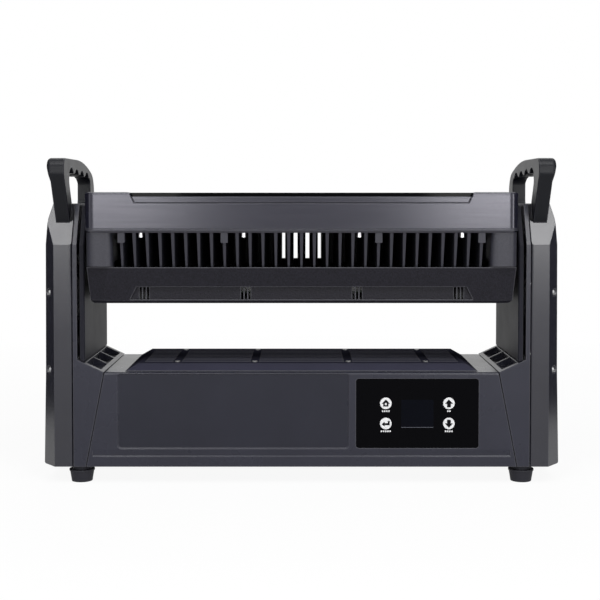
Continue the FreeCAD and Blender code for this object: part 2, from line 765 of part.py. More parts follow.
def handle():
    """Carrying handle of the right arm: a nosed front leg, a falling grip and a rear leg."""
    low = arm_top - HANDLE_FOOT_DROP
    bend = arm_top + HANDLE_BEND_RISE
    nose = handle_top - HANDLE_NOSE_DROP
    rear_top = handle_top - HANDLE_REAR_FALL
    grip_low = handle_top - HANDLE_GRIP
    rear_front = HANDLE_REAR_REACH - HANDLE_REAR_LEG
    lean = (HANDLE_FRONT_REACH - HANDLE_FOOT_FRONT) / (nose - low)
    inner_top = HANDLE_FOOT_FRONT - HANDLE_LEG + lean * (grip_low - low)
    loop = [
        (-HANDLE_FOOT_FRONT, low), (-HANDLE_FOOT_FRONT + HANDLE_LEG, low), (-inner_top, grip_low),
        (rear_front, grip_low - HANDLE_GRIP_FALL), (rear_front, bend), (HANDLE_FOOT_REAR - HANDLE_LEG, low),
        (HANDLE_FOOT_REAR, low), (HANDLE_REAR_REACH, bend), (HANDLE_REAR_REACH, rear_top),
        (HANDLE_FALL_START, handle_top), (-HANDLE_FRONT_REACH + HANDLE_NOSE_BACK, handle_top),
        (-HANDLE_FRONT_REACH, handle_top - HANDLE_CAP_DROP), (-HANDLE_FRONT_REACH, nose),
    ]
    inner = HANDLE_INNER_ROUND
    nosed = HANDLE_NOSE_ROUND
    crown = [HANDLE_REAR_ROUND, HANDLE_TOP_ROUND, nosed, nosed, nosed]
    rounds = [0, 0, inner, inner, inner, 0, 0, inner, *crown]
    leg_out = handle_in + HANDLE_LEG_WIDTH
    grip_out = handle_in + HANDLE_GRIP_WIDTH
    solid = along_x(loop, handle_in, grip_out, rounds)
    rim = HANDLE_INNER_EDGE
    nose_back = HANDLE_NOSE_BACK - HANDLE_FRONT_REACH
    outer_edges = edges_at(
        solid,
        lambda x, y, z: near(x, grip_out) and z > bend
        and (y > rear_front + rim or z > grip_low + rim or y < nose_back),
    )
    solid = solid.makeFillet(HANDLE_OUTER_EDGE, outer_edges)
    wide = handle_top - HANDLE_WIDE
    taper = [
        (handle_in, low - OVER), (leg_out, low - OVER), (leg_out, wide - HANDLE_WIDE_RUN),
        (grip_out, wide), (grip_out, handle_top + OVER), (handle_in, handle_top + OVER),
    ]
    solid = solid.common(along_y(taper, -HEAD_DEPTH, HEAD_DEPTH))
    inner_edges = edges_at(solid, lambda x, y, z: near(x, handle_in) and z > low)
    solid = solid.makeFillet(rim, inner_edges)
    first = FINGER_CENTRE - FINGER_PITCH * (FINGER_COUNT - 1) / 2
    fall = HANDLE_GRIP_FALL / (rear_front + inner_top)
    for index in range(FINGER_COUNT):
        y = first + index * FINGER_PITCH
        under = grip_low - fall * (y + inner_top)
        z = under + FINGER_DEPTH - FINGER_RADIUS
        finger = rod_x(handle_in - OVER, grip_out + OVER, y, z, FINGER_RADIUS)
        above = box(handle_in - OVER, grip_out + OVER, -HEAD_DEPTH, HEAD_DEPTH, under - rim, handle_top)
        solid = cut(solid, finger.common(above))
    return cut(solid, cover_block(0.0, 0.0))


def base_tray():
    """Steel floor of the base, inside the foot of every moulding."""
    gap = WALL + SEAM_GAP
    right = inset(cover_plan(2 * gap), gap)
    outline = right[1:5]
    left = [(-x, y) for x, y in reversed(outline)]
    tray = along_z(outline + left, base_bottom, tray_top)
    tools = []
    for x in (-BRACKET_SPACING_X / 2, BRACKET_SPACING_X / 2):
        for y in (-BRACKET_SPACING_Y / 2, BRACKET_SPACING_Y / 2):
            tools.append(rod_z(x, y, base_bottom - OVER, tray_top + OVER, BRACKET_BORE))
    return cut(tray, *tools)


def bracket_sockets():
    sockets = []
    for x in (-BRACKET_SPACING_X / 2, BRACKET_SPACING_X / 2):
        for y in (-BRACKET_SPACING_Y / 2, BRACKET_SPACING_Y / 2):
            top = tray_top + BRACKET_HEIGHT
            ring = rod_z(x, y, tray_top, top, BRACKET_RADIUS)
            sockets.append(cut(ring, rod_z(x, y, tray_top - OVER, top + OVER, BRACKET_BORE)))
    return group(sockets)


def vent_outline(level):
    """Plan of the vent cover: its foot at level 0 and its top at level 1."""
    x = base_top_x - VENT_FLANGE_IN - level * VENT_SIDE_RUN
    front = -base_y + VENT_FRONT_IN + level * VENT_FRONT_RUN
    rear = base_y - VENT_REAR_IN - level * VENT_REAR_RUN
    return [(-x, front), (x, front), (x, rear), (-x, rear)]


def panel_place():
    """Left, right, bottom and top of the control panel's glass."""
    right = base_top_x - PANEL_RIGHT_IN
    top = base_top - PANEL_FROM_TOP
    return right - PANEL_WIDTH, right, top - PANEL_HEIGHT, top


def key_places():
    left, right, low, high = panel_place()
    x = (left + right) / 2
    z = (low + high) / 2
    dx = KEY_PITCH_X / 2
    dz = KEY_PITCH_Z / 2
    return {
        "home_key": (x - dx, z + dz), "enter_key": (x - dx, z - dz),
        "up_key": (x + dx, z + dz), "down_key": (x + dx, z - dz),
    }


def glass_planes():
    """Front and back of the control panel's glass."""
    front = -base_y + PANEL_SINK
    return front, front + PANEL_GLASS


def board_front():
    """Front face of the control board behind the keys."""
    back = glass_planes()[1]
    stem_end = back + KEY_SEAT_GAP + KEY_FLANGE_DEPTH + KEY_STEM
    return stem_end + KEY_TRAVEL + KEY_END_GAP + SWITCH_HEIGHT


def board_outline():
    left, right, low, high = panel_place()
    m = BOARD_MARGIN
    return left + m, right - m, low + m, high - m


def socket_xs():
    return POWER_IN_X, POWER_OUT_X, DATA_IN_X, DATA_OUT_X


def field_edge(x0, x1, z0, z1):
    """Tool that bevels the mouth of the sunk field: twice the bevel, half of it in front of the face."""
    grow = 2 * FIELD_EDGE
    floor = [(x0, -z1), (x1, -z1), (x1, -z0), (x0, -z0)]
    mouth = inset(floor, -grow)
    tool = loft(mouth, -FIELD_EDGE_SINK, floor, FIELD_EDGE_SINK, FIELD_CORNER + grow, FIELD_CORNER)
    tool.rotate(vec(0, 0, 0), vec(1, 0, 0), -90)
    tool.translate(vec(0, -base_y, 0))
    return tool


def base_cover():
    """Moulded front, top and back of the base between the two yoke mouldings."""
    section = [(-base_y, base_bottom), (base_y, base_bottom), (base_y, base_top), (-base_y, base_top)]
    outer = along_x(section, -base_foot_x, base_foot_x, [0, 0, BASE_EDGE, BASE_EDGE])
    room = box(-base_foot_x - OVER, base_foot_x + OVER, -base_y + WALL, base_y - WALL,
               base_bottom - OVER, base_top - WALL)
    ends = [
        (-base_foot_x, base_bottom), (base_foot_x, base_bottom),
        (base_top_x, base_top), (-base_top_x, base_top),
    ]
    shell = cut(outer, room).common(along_y(ends, -base_y - OVER, base_y + OVER))
    vent = inset(vent_outline(1), VENT_SEAT)
    shell = cut(shell, along_z(vent, base_top - WALL - OVER, base_top + OVER))
    crease_z = base_bottom + CREASE_HEIGHT
    deep_z = crease_z + CREASE_RISE
    crease = [(-base_y - CREASE, crease_z - CREASE_RISE), (-base_y + CREASE, deep_z),
              (-base_y - CREASE, deep_z + 2 * CREASE_FADE)]
    crease_x = base_foot_x - SEAM_LEAN * CREASE_HEIGHT / BASE_HEIGHT - CREASE_END_IN
    shell = cut(shell, along_x(crease, -crease_x, crease_x))
    left, right, low, high = panel_place()
    g = PANEL_GAP
    back = glass_planes()[1]
    pocket = [(left - g, low - g), (right + g, low - g), (right + g, high + g), (left - g, high + g)]
    shell = cut(shell, along_y(pocket, -base_y - OVER, back, PANEL_CORNER + g))
    m = PANEL_LEDGE
    window = box(left + m, right - m, back - OVER, back + OVER, low + m, high - m)
    x0 = -base_top_x + FIELD_LEFT
    z1 = base_top - FIELD_TOP
    x1 = x0 + FIELD_WIDTH
    z0 = z1 - FIELD_HEIGHT
    field = [(x0, z0), (x1, z0), (x1, z1), (x0, z1)]
    sunk = along_y(field, -base_y - OVER, -base_y + FIELD_SINK, FIELD_CORNER)
    shell = cut(shell, window, sunk, field_edge(x0, x1, z0, z1))
    bx0, bx1, bz0, bz1 = board_outline()
    r = POST_RADIUS
    posts = []
    for x in (bx0 + r, bx1 - r):
        for z in (bz0 + r, bz1 - r):
            posts.append(rod_y(x, back, board_front(), z, r))
    shell = join(shell, *posts)
    rear = base_y - WALL - OVER
    z = base_bottom + SOCKET_LIFT
    holes = [rod_y(x, rear, base_y + OVER, z, SOCKET_BARREL + SOCKET_GAP) for x in socket_xs()]
    holes.append(rod_y(FUSE_X, rear, base_y + OVER, z, FUSE_RADIUS + SOCKET_GAP))
    half = EYE_WIDTH / 2 + EYE_GAP
    eye_top = tray_top + EYE_THICKNESS + EYE_GAP
    holes.append(box(-half, half, rear, base_y + OVER, base_bottom - OVER, eye_top))
    return cut(shell, *holes)


def vent_screw_places():
    top = vent_outline(1)
    front = top[0][1] + VENT_SCREW_IN
    rear = top[2][1] - VENT_SCREW_IN
    return [(x, y) for y in (front, rear) for x in VENT_SCREW_X]


def base_vent():
    """Raised louvred cover on the base, under the head, with a lip in front of each slot."""
    solid = loft(vent_outline(0), base_top, vent_outline(1), vent_top)
    low = inset(vent_outline(0), VENT_WALL)
    high = inset(vent_outline(1), VENT_WALL)
    room = loft(low, base_top - VENT_WALL, high, vent_top - VENT_WALL)
    shell = cut(solid, room)
    (x0, front), (x1, _), (_, rear), _ = vent_outline(1)
    reach = VENT_SLOT_MARGIN - VENT_RIB / 2
    stops = [x0 + reach, *VENT_SCREW_X, x1 - reach]
    rows = int((rear - front - 2 * VENT_SLOT_MARGIN) / VENT_SLOT_PITCH)
    first = (front + rear) / 2 - (rows - 1) * VENT_SLOT_PITCH / 2
    slots = []
    lips = []
    for row in range(rows):
        y = first + row * VENT_SLOT_PITCH - VENT_SLOT / 2
        for begin, end in zip(stops, stops[1:]):
            left = begin + VENT_RIB / 2
            right = end - VENT_RIB / 2
            slots.append(box(left, right, y, y + VENT_SLOT, vent_top - VENT_RISE, vent_top + OVER))
            lips.append(box(left, right, y - VENT_LIP, y, vent_top - VENT_WALL, vent_top + VENT_LIP_RISE))
    return join(cut(shell, *slots), *lips)


def vent_screws():
    screws = []
    for x, y in vent_screw_places():
        screws.append(rod_z(x, y, vent_top, vent_top + VENT_SCREW_HEIGHT, VENT_SCREW_HEAD))
    return group(screws)


# Control panel

def control_panel():
    left, right, low, high = panel_place()
    front, back = glass_planes()
    outline = [(left, low), (right, low), (right, high), (left, high)]
    glass = along_y(outline, front, back, PANEL_CORNER)
    holes = [rod_y(x, front - OVER, back + OVER, z, KEY_RADIUS + KEY_GAP) for x, z in key_places().values()]
    return cut(glass, *holes)


def key(name):
    """Round key: cap in the glass, flange behind it and a stem over the switch."""
    x, z = key_places()[name]
    front, back = glass_planes()
    flange = back + KEY_SEAT_GAP
    stem = flange + KEY_FLANGE_DEPTH
    cap = rod_y(x, front - KEY_PROUD, flange, z, KEY_RADIUS)
    rim = edges_at(cap, lambda px, py, pz: near(py, front - KEY_PROUD))
    cap = cap.makeFillet(KEY_PROUD, rim)
    return join(
        cap,
        rod_y(x, flange, stem, z, KEY_RADIUS + KEY_FLANGE),
        rod_y(x, stem, stem + KEY_STEM, z, KEY_STEM_RADIUS),
    )


def control_board():
    x0, x1, z0, z1 = board_outline()
    front = board_front()
    board = box(x0, x1, front, front + BOARD_THICKNESS, z0, z1)
    half = SWITCH_SIZE / 2
    switches = []
    for x, z in key_places().values():
        switches.append(box(x - half, x + half, front - SWITCH_HEIGHT, front, z - half, z + half))
    return join(board, *switches)


def display_module():
    """Colour display between the glass and the control board."""
    left, right, low, high = panel_place()
    x = (left + right) / 2
    z = (low + high) / 2
    back = glass_planes()[1]
    w = DISPLAY_WIDTH / 2
    h = DISPLAY_HEIGHT / 2
    return box(x - w, x + w, back, board_front(), z - h, z + h)


# Power and data

def power_supply():
    x0 = -base_top_x + SUPPLY_LEFT_IN
    half = SUPPLY_DEPTH / 2
    case = box(x0, x0 + SUPPLY_LENGTH, -half, half, tray_top, tray_top + SUPPLY_HEIGHT)
    return case.makeChamfer(WALL / 2, edges_at(case, lambda x, y, z: near(z, tray_top + SUPPLY_HEIGHT)))


def main_board():
    half = MAIN_BOARD_DEPTH / 2
    x0 = MAIN_BOARD_X
    x1 = x0 + MAIN_BOARD_LENGTH
    z0 = tray_top + MAIN_BOARD_LIFT
    board = box(x0, x1, -half, half, z0, z0 + BOARD_THICKNESS)
    legs = []
    for x in (x0 + BOARD_LEG, x1 - BOARD_LEG):
        for y in (-half + BOARD_LEG, half - BOARD_LEG):
            legs.append(rod_z(x, y, tray_top, z0, BOARD_LEG))
    return join(board, *legs)


def socket_body(x):
    """Flanged socket body in the back of the base."""
    z = base_bottom + SOCKET_LIFT
    w = SOCKET_FLANGE_WIDTH / 2
    h = SOCKET_FLANGE_HEIGHT / 2
    plate = [(x - w, z - h), (x + w, z - h), (x + w, z + h), (x - w, z + h)]
    flange = along_y(plate, base_y, base_y + SOCKET_FLANGE, SOCKET_CORNER)
    return join(flange, rod_y(x, base_y - SOCKET_LENGTH, base_y, z, SOCKET_BARREL))


def bored_socket(x, radius, depth):
    z = base_bottom + SOCKET_LIFT
    mouth = base_y + SOCKET_FLANGE
    return cut(socket_body(x), rod_y(x, mouth - depth, mouth + OVER, z, radius))


def data_output():
    """Data socket with three contact holes."""
    z = base_bottom + SOCKET_LIFT
    mouth = base_y + SOCKET_FLANGE
    holes = []
    for index in range(3):
        angle = math.radians(90 + 120 * index)
        x = DATA_OUT_X + CONTACT_CIRCLE * math.cos(angle)
        rise = CONTACT_CIRCLE * math.sin(angle)
        holes.append(rod_y(x, mouth - CONTACT_DEPTH, mouth + OVER, z + rise, CONTACT_RADIUS))
    return cut(socket_body(DATA_OUT_X), *holes)


def fuse_holder():
    z = base_bottom + SOCKET_LIFT
    body = rod_y(FUSE_X, base_y - FUSE_LENGTH, base_y, z, FUSE_RADIUS)
    cap = rod_y(FUSE_X, base_y, base_y + FUSE_CAP_HEIGHT, z, FUSE_CAP)
    rim = edges_at(cap, lambda x, y, pz: near(y, base_y + FUSE_CAP_HEIGHT))
    return join(body, cap.makeChamfer(FUSE_CAP_EDGE, rim))


def safety_eye():
    """Steel tongue on the tray with a hole for the safety cable."""
    half = EYE_WIDTH / 2
    end = base_y + EYE_REACH
    tip = (EYE_WIDTH - EYE_TIP_FLAT) / 2
    outline = [(-half, end - EYE_LENGTH), (half, end - EYE_LENGTH), (half, end), (-half, end)]
    tongue = along_z(outline, tray_top, tray_top + EYE_THICKNESS, [0, 0, tip, tip])
    hole = rod_z(0, end - half, tray_top - OVER, tray_top + OVER, EYE_RADIUS)
    return cut(tongue, hole)


# Fans

def fan_frame(size, depth):
    """Square fan frame about the Z axis, with a hub plate on spokes and a fixed axle."""
    half = size / 2
    bore = half - FAN_RING
    frame = cut(slab(half, half, 0, depth, FAN_CORNER), rod_z(0, 0, -OVER, depth + OVER, bore))
    hub = rod_z(0, 0, 0, FAN_FLOOR, FAN_HUB * size / FAN_SIZE)
    spoke = FAN_SPOKE / 2
    spokes = []
    for turn in (45, 135):
        bar = box(-bore - FAN_RING / 2, bore + FAN_RING / 2, -spoke, spoke, 0, FAN_FLOOR)
        bar.rotate(vec(0, 0, 0), vec(0, 0, 1), turn)
        spokes.append(bar)
    axle = rod_z(0, 0, 0, depth - FAN_END_GAP - FAN_FLOOR, FAN_AXLE)
    return join(frame, hub, axle, *spokes)


def fan_rotor(size, depth):
    """Bladed rotor that turns on the frame's axle."""
    hub_radius = FAN_HUB * size / FAN_SIZE
    low = FAN_FLOOR + FAN_END_GAP
    high = depth - FAN_END_GAP
    hub = rod_z(0, 0, low, high, hub_radius)
    tip = size / 2 - FAN_RING - FAN_TIP_GAP
    blade = box(hub_radius / 2, tip + FAN_RING, -FAN_BLADE / 2, FAN_BLADE / 2, low - depth, high + depth)
    blade.rotate(vec(0, 0, (low + high) / 2), vec(1, 0, 0), FAN_BLADE_TURN)
    blade = blade.common(rod_z(0, 0, low, high, tip))
    blades = []
    for index in range(FAN_BLADES):
        copy = blade.copy()
        copy.rotate(vec(0, 0, 0), vec(0, 0, 1), 360.0 * index / FAN_BLADES)
        blades.append(copy)
    rotor = join(hub, *blades)
    well = rod_z(0, 0, low - OVER, depth - FAN_FLOOR, FAN_AXLE + FAN_AXLE_GAP)
    return cut(rotor, well)


def head_fan_xs():
    return [-FAN_PITCH, 0.0, FAN_PITCH]


def placed(shape, x, y, z):
    moved = shape.copy()
    moved.translate(vec(x, y, z))
    return moved


def head_fans():
    frame = fan_frame(FAN_SIZE, FAN_DEPTH)
    return group([placed(frame, x, 0, cover_floor) for x in head_fan_xs()])


def head_fan_rotor(index):
    return placed(fan_rotor(FAN_SIZE, FAN_DEPTH), head_fan_xs()[index], 0, cover_floor)


def on_edge(shape):
    """Base fan stood on the tray, blowing along X."""
    turned = shape.copy()
    turned.rotate(vec(0, 0, 0), vec(0, 1, 0), 90)
    return placed(turned, BASE_FAN_X, 0, tray_top + BASE_FAN_SIZE / 2)


def base_fan():
    return on_edge(fan_frame(BASE_FAN_SIZE, BASE_FAN_DEPTH))


def base_fan_rotor():
    return on_edge(fan_rotor(BASE_FAN_SIZE, BASE_FAN_DEPTH))


# Yoke frame and drive

def upright():
    """Steel upright of the right arm: a foot on the tray and a boss for the pivot."""
    half = UPRIGHT_DEPTH / 2
    plate = box(upright_in, upright_out, -half, half, tray_top, pivot_z)
    crown = rod_x(upright_in, upright_out, 0, pivot_z, half).common(
        box(upright_in, upright_out, -half, half, pivot_z - half, arm_top - 2 * WALL))
    foot = box(upright_out - UPRIGHT_FOOT, upright_out, -half, half, tray_top, tray_top + UPRIGHT)
    outer = SHAFT_RADIUS + BUSH_GAP + BUSH_WALL + BUSH_SEAT_GAP
    boss = rod_x(upright_in, bush_out, 0, pivot_z, outer + BUSH_BOSS)
    body = join(plate, crown, foot, boss)
    return cut(body, rod_x(upright_in - OVER, bush_out + OVER, 0, pivot_z, outer))


def upright_left():
    """The left upright also carries the motor, whose pilot sits in it."""
    opening = rod_x(-upright_out - OVER, -upright_in + OVER, 0, motor_z, MOTOR_PILOT + SEAM_GAP)
    return cut(mirrored(upright()), opening)


def pivot_bush():
    outer = SHAFT_RADIUS + BUSH_GAP + BUSH_WALL
    ring = rod_x(upright_in, bush_out, 0, pivot_z, outer)
    return cut(ring, rod_x(upright_in - OVER, bush_out + OVER, 0, pivot_z, SHAFT_RADIUS + BUSH_GAP))


def end_outline_x(z):
    """Half width of the head's end at a height."""
    return end_bottom_x + (z - fin_bottom) / FIN_HEIGHT * (head_x - end_bottom_x)


def flange_planes():
    outer = end_outline_x(fin_bottom)
    return outer - FLANGE, outer


def trunnion():
    """Hollow flanged shaft that carries the head's right end."""
    inner, outer = flange_planes()
    flange = rod_x(inner, outer, 0, pivot_z, flange_radius)
    body = join(flange, rod_x(inner, shaft_end, 0, pivot_z, SHAFT_RADIUS))
    return cut(body, rod_x(inner - OVER, shaft_end + OVER, 0, pivot_z, SHAFT_BORE))


def pulley(radius, teeth, bore, y, z):
    """Toothed belt pulley on the left side, between two rims."""
    x0 = -pulley_out
    x1 = -pulley_in
    drum = rod_x(x0, x1, y, z, radius)
    grooves = []
    for index in range(teeth):
        angle = 2 * math.pi * index / teeth
        gy = y + radius * math.cos(angle)
        gz = z + radius * math.sin(angle)
        grooves.append(rod_x(x0 - OVER, x1 + OVER, gy, gz, TOOTH_DEPTH))
    drum = cut(drum, *grooves)
    rims = [
        rod_x(x0, x0 + PULLEY_RIM, y, z, radius + RIM_HEIGHT),
        rod_x(x1 - PULLEY_RIM, x1, y, z, radius + RIM_HEIGHT),
    ]
    return cut(join(drum, *rims), rod_x(x0 - OVER, x1 + OVER, y, z, bore))


def tilt_pulley():
    return pulley(big_radius, BIG_TEETH, SHAFT_RADIUS, 0, pivot_z)


def motor_pulley():
    """Pulley and shaft that the motor turns."""
    end = -upright_in + MOTOR_SHAFT_DEPTH
    wheel = pulley(small_radius, SMALL_TEETH, MOTOR_SHAFT / 2, 0, motor_z)
    return join(wheel, rod_x(-pulley_out, end, 0, motor_z, MOTOR_SHAFT))


def belt_outline(extra):
    """Filled shape round both pulleys, larger than them by a distance."""
    big = big_radius + extra
    small = small_radius + extra
    rise = pivot_z - motor_z
    lean = math.asin((big - small) / rise)
    x0 = -pulley_out + PULLEY_RIM + BELT_GAP
    x1 = -pulley_in - PULLEY_RIM - BELT_GAP
    corners = [
        (small * math.cos(lean), motor_z - small * math.sin(lean)),
        (big * math.cos(lean), pivot_z - big * math.sin(lean)),
        (-big * math.cos(lean), pivot_z - big * math.sin(lean)),
        (-small * math.cos(lean), motor_z - small * math.sin(lean)),
    ]
    return join(
        along_x(corners, x0, x1),
        rod_x(x0, x1, 0, pivot_z, big),
        rod_x(x0, x1, 0, motor_z, small),
    )


def tilt_belt():
    return cut(belt_outline(BELT_GAP + BELT), belt_outline(BELT_GAP))


def tilt_motor():
    """Stepper motor on the inner side of the left upright."""
    half = MOTOR_SIZE / 2
    x1 = -upright_in
    x2 = x1 + MOTOR_LENGTH
    face = [(-half, motor_z - half), (half, motor_z - half), (half, motor_z + half), (-half, motor_z + half)]
    body = along_x(face, x1, x2, MOTOR_CORNER)
    pilot = rod_x(x1 - MOTOR_PILOT_HEIGHT, x1, 0, motor_z, MOTOR_PILOT)
    bore = rod_x(x1 - OVER, x1 + MOTOR_SHAFT_DEPTH + KEY_END_GAP, 0, motor_z, MOTOR_SHAFT + MOTOR_SHAFT_GAP)
    return cut(join(body, pilot), bore)


def tilt_sensor():
    """Position sensor board on the left upright, under the big pulley."""
    w = SENSOR_WIDTH / 2
    z1 = pivot_z - SENSOR_DROP
    z0 = z1 - SENSOR_HEIGHT
    x1 = -upright_out
    board = box(x1 - BOARD_THICKNESS, x1, -w, w, z0, z1)
    chip = box(x1 - BOARD_THICKNESS - SENSOR_BODY / 2, x1 - BOARD_THICKNESS, -w / 2, w / 2, z1 - w, z1)
    return join(board, chip)


# Head pieces

def head_bezel():
    frame = slab(head_x, head_y, bezel_bottom, bezel_top, BEZEL_CORNER)
    frame = frame.makeFillet(BEZEL_TOP_EDGE, edges_at(frame, lambda x, y, z: near(z, bezel_top)))
    frame = frame.makeChamfer(BEZEL_FOOT_EDGE, edges_at(frame, lambda x, y, z: near(z, bezel_bottom)))
    line = bezel_bottom + BEZEL_GROOVE_RISE
    g = BEZEL_GROOVE
    ring = cut(
        slab(head_x + g, head_y + g, line, line + g, BEZEL_CORNER),
        slab(head_x - g, head_y - g, line, line + g, BEZEL_CORNER - g),
    )
    frame = cut(frame, ring)
    rim = BEZEL_RIM
    well = slab(head_x - rim, head_y - rim, bezel_bottom - OVER, bezel_top + OVER, LENS_SEAT)
    seat_rim = rim - LENS_SEAT
    seat = slab(head_x - seat_rim, head_y - seat_rim, lens_ledge, bezel_top + OVER, LENS_SEAT)
    frame = cut(frame, well, seat)
    top = NOTCH_TOP_WIDTH / 2
    low = bezel_top - NOTCH_DEPTH
    run = NOTCH_END_RUN
    high = bezel_top + NOTCH_DEPTH
    notch = [(-top + run, low), (top - run, low), (top + run, high), (-top - run, high)]
    for side in (-1, 1):
        y0, y1 = sorted((side * (head_y - NOTCH_RECESS), side * (head_y + OVER)))
        frame = cut(frame, along_y(notch, y0, y1))
        y0, y1 = sorted((side * (head_y - NOTCH_RECESS - NOTCH_GROOVE_DEPTH), side * (head_y + OVER)))
        inner = inset(notch, NOTCH_GROOVE)
        frame = cut(frame, cut(along_y(notch, y0, y1), along_y(inner, y0, y1)))
        y0, y1 = sorted((side * (head_y - rim), side * (head_y + OVER)))
        through = along_y(notch, y0, y1).common(
            box(-head_x, head_x, y0, y1, lens_bottom, bezel_top + OVER))
        frame = cut(frame, through)
    return frame


def lens_seat_size():
    rim = BEZEL_RIM - LENS_SEAT
    return head_x - rim - LENS_GAP, head_y - rim - LENS_GAP


def front_lens():
    x, y = lens_seat_size()
    return slab(x, y, lens_bottom, lens_bottom + LENS_THICKNESS, LENS_SEAT)


def lens_gasket():
    x, y = lens_seat_size()
    outer = slab(x, y, lens_ledge, lens_bottom, LENS_SEAT)
    rim = BEZEL_RIM
    return cut(outer, slab(head_x - rim, head_y - rim, lens_ledge - OVER, lens_bottom + OVER, LENS_SEAT))


def fin(x):
    """One cooling fin: drafted, drawn in towards its tip, thick in the middle."""
    root_y = head_y - FIN_ROOT_SETBACK
    tip_y = head_y - FIN_TIP_SETBACK
    root = [(x + dx, dy) for dx, dy in rectangle(FIN_ROOT / 2, root_y)]
    tip = [(x + dx, dy) for dx, dy in rectangle(FIN_TIP / 2, tip_y)]
    blade = loft(tip, fin_bottom, root, bezel_bottom)
    half = FIN_CORE_DEPTH / 2
    blend = half + FIN_CORE_BLEND / 2
    w = FIN_CORE / 2
    t = FIN_TIP / 2
    plan = [(x - t, -blend), (x + t, -blend), (x + w, -half), (x + w, half), (x + t, blend), (x - t, blend),
            (x - w, half), (x - w, -half)]
    return [blade, along_z(plan, fin_bottom, bezel_bottom)]


def heat_sink():
    x = head_x - BEZEL_RIM - SINK_GAP
    y = head_y - BEZEL_RIM - SINK_GAP
    plate = slab(x, y, bezel_bottom, plate_top, LENS_SEAT)
    pieces = []
    for fx in fin_xs():
        pieces.extend(fin(fx))
    last = fin_xs()[-1]
    for side in (-1, 1):
        x0, x1 = sorted((side * FIN_OPEN_GAPS * fin_pitch, side * last))
        pieces.append(box(x0, x1, -FIN_WEB / 2, FIN_WEB / 2, fin_bottom, bezel_bottom))
    root_y = head_y - FIN_ROOT_SETBACK
    for number in BOSSED_FINS:
        for side in (-1, 1):
            bx = side * number * fin_pitch
            for front in (-1, 1):
                y0, y1 = sorted((front * root_y, front * (root_y - FIN_BOSS_DEPTH)))
                pieces.append(box(bx - FIN_BOSS_WIDTH / 2, bx + FIN_BOSS_WIDTH / 2, y0, y1,
                                  bezel_bottom - FIN_BOSS_HEIGHT, bezel_bottom))
    return join(plate, *pieces)


def head_end():
    """Cast end of the head on the right, with rounded posts front and back."""
    lower = rectangle(end_bottom_x, end_bottom_y)
    upper = rectangle(head_x - SEAM_GAP, head_y - END_SETBACK)
    solid = loft(lower, fin_bottom, upper, bezel_bottom, END_BOTTOM_CORNER, END_TOP_CORNER)
    inner = flange_planes()[0]
    keep = box(post_x, head_x + OVER, -HEAD_DEPTH, HEAD_DEPTH, fin_bottom, bezel_bottom)
    room_y = end_bottom_y - END_POST_DEPTH
    posts = solid.common(keep)
    edges = edges_at(posts, lambda x, y, z: near(x, post_x) and abs(y) > room_y)
    upright_edges = [edge for edge in edges if edge.BoundBox.ZLength > FIN_HEIGHT / 2]
    posts = posts.makeFillet(END_POST_ROUND, upright_edges)
    room = box(post_x - OVER, inner - END_WALL, -room_y, room_y, fin_bottom - OVER, bezel_bottom + OVER)
    seat = rod_x(inner, head_x + OVER, 0, pivot_z, flange_radius + FLANGE_GAP)
    way = rod_x(post_x - OVER, head_x + OVER, 0, pivot_z, SHAFT_BORE)
    foot = fin_bottom - OVER
    depth = END_GROOVE_DEPTH
    core = slab(end_bottom_x - depth, end_bottom_y - depth, foot, bezel_bottom, END_BOTTOM_CORNER)
    layer = box(post_x - OVER, head_x + OVER, -HEAD_DEPTH, HEAD_DEPTH, foot, fin_bottom + END_GROOVE)
    return cut(posts, room, seat, way, cut(layer, core))


def recess_block(depth, grow):
    """Sunk band along the lower edge of the rear cover, front and back."""
    half = REAR_RECESS_WIDTH / 2 + grow
    run = REAR_RECESS_END_RUN
    z0 = head_bottom + REAR_LIP - grow
    z1 = head_bottom + REAR_RECESS_HEIGHT + grow
    outline = [(-half - run, z0), (half + run, z0), (half, z1), (-half, z1)]
    top_y = rear_cover_y - REAR_COVER_DRAFT_Y * (1 - REAR_RECESS_HEIGHT / REAR_COVER_HEIGHT)
    bands = []
    for side in (-1, 1):
        y0, y1 = sorted((side * (top_y - depth - grow), side * (head_y + OVER)))
        bands.append(along_y(outline, y0, y1))
    return group(bands)


def channel_slots():
    """Narrow slots in the sunk band under each screw."""
    slots = []
    z0 = head_bottom + REAR_LIP
    z1 = head_bottom + REAR_RECESS_HEIGHT
    step = CHANNEL_SLOT + CHANNEL_RIB
    inner_y = rear_cover_y - REAR_COVER_DRAFT_Y - REAR_RECESS_DEPTH - 2 * WALL
    for x in screw_xs():
        for index in range(CHANNEL_SLOTS):
            cx = x - math.copysign(CHANNEL_INSET, x) + (index - (CHANNEL_SLOTS - 1) / 2) * step
            for side in (-1, 1):
                y0, y1 = sorted((side * inner_y, side * (head_y + OVER)))
                slots.append(box(cx - CHANNEL_SLOT / 2, cx + CHANNEL_SLOT / 2, y0, y1, z0, z1))
    return slots


def guard_cut(x):
    """Ring slots of a fan guard in the rear cover's floor, left crossed by four ribs."""
    rings = []
    for index in range(GUARD_RINGS):
        inner = GUARD_RIB + index * (GUARD_SLOT + GUARD_RIB)
        outer = inner + GUARD_SLOT
        rings.append(cut(rod_z(x, 0, head_bottom - OVER, cover_floor, outer),
                         rod_z(x, 0, head_bottom - OVER, cover_floor, inner)))
    rib = GUARD_RIB / 2
    reach = FAN_SIZE
    bars = []
    for turn in (0, 90):
        bar = box(x - reach, x + reach, -rib, rib, head_bottom - 2 * OVER, cover_floor + OVER)
        bar.rotate(vec(x, 0, 0), vec(0, 0, 1), turn)
        bars.append(bar)
    return [cut(ring, *bars) for ring in rings]


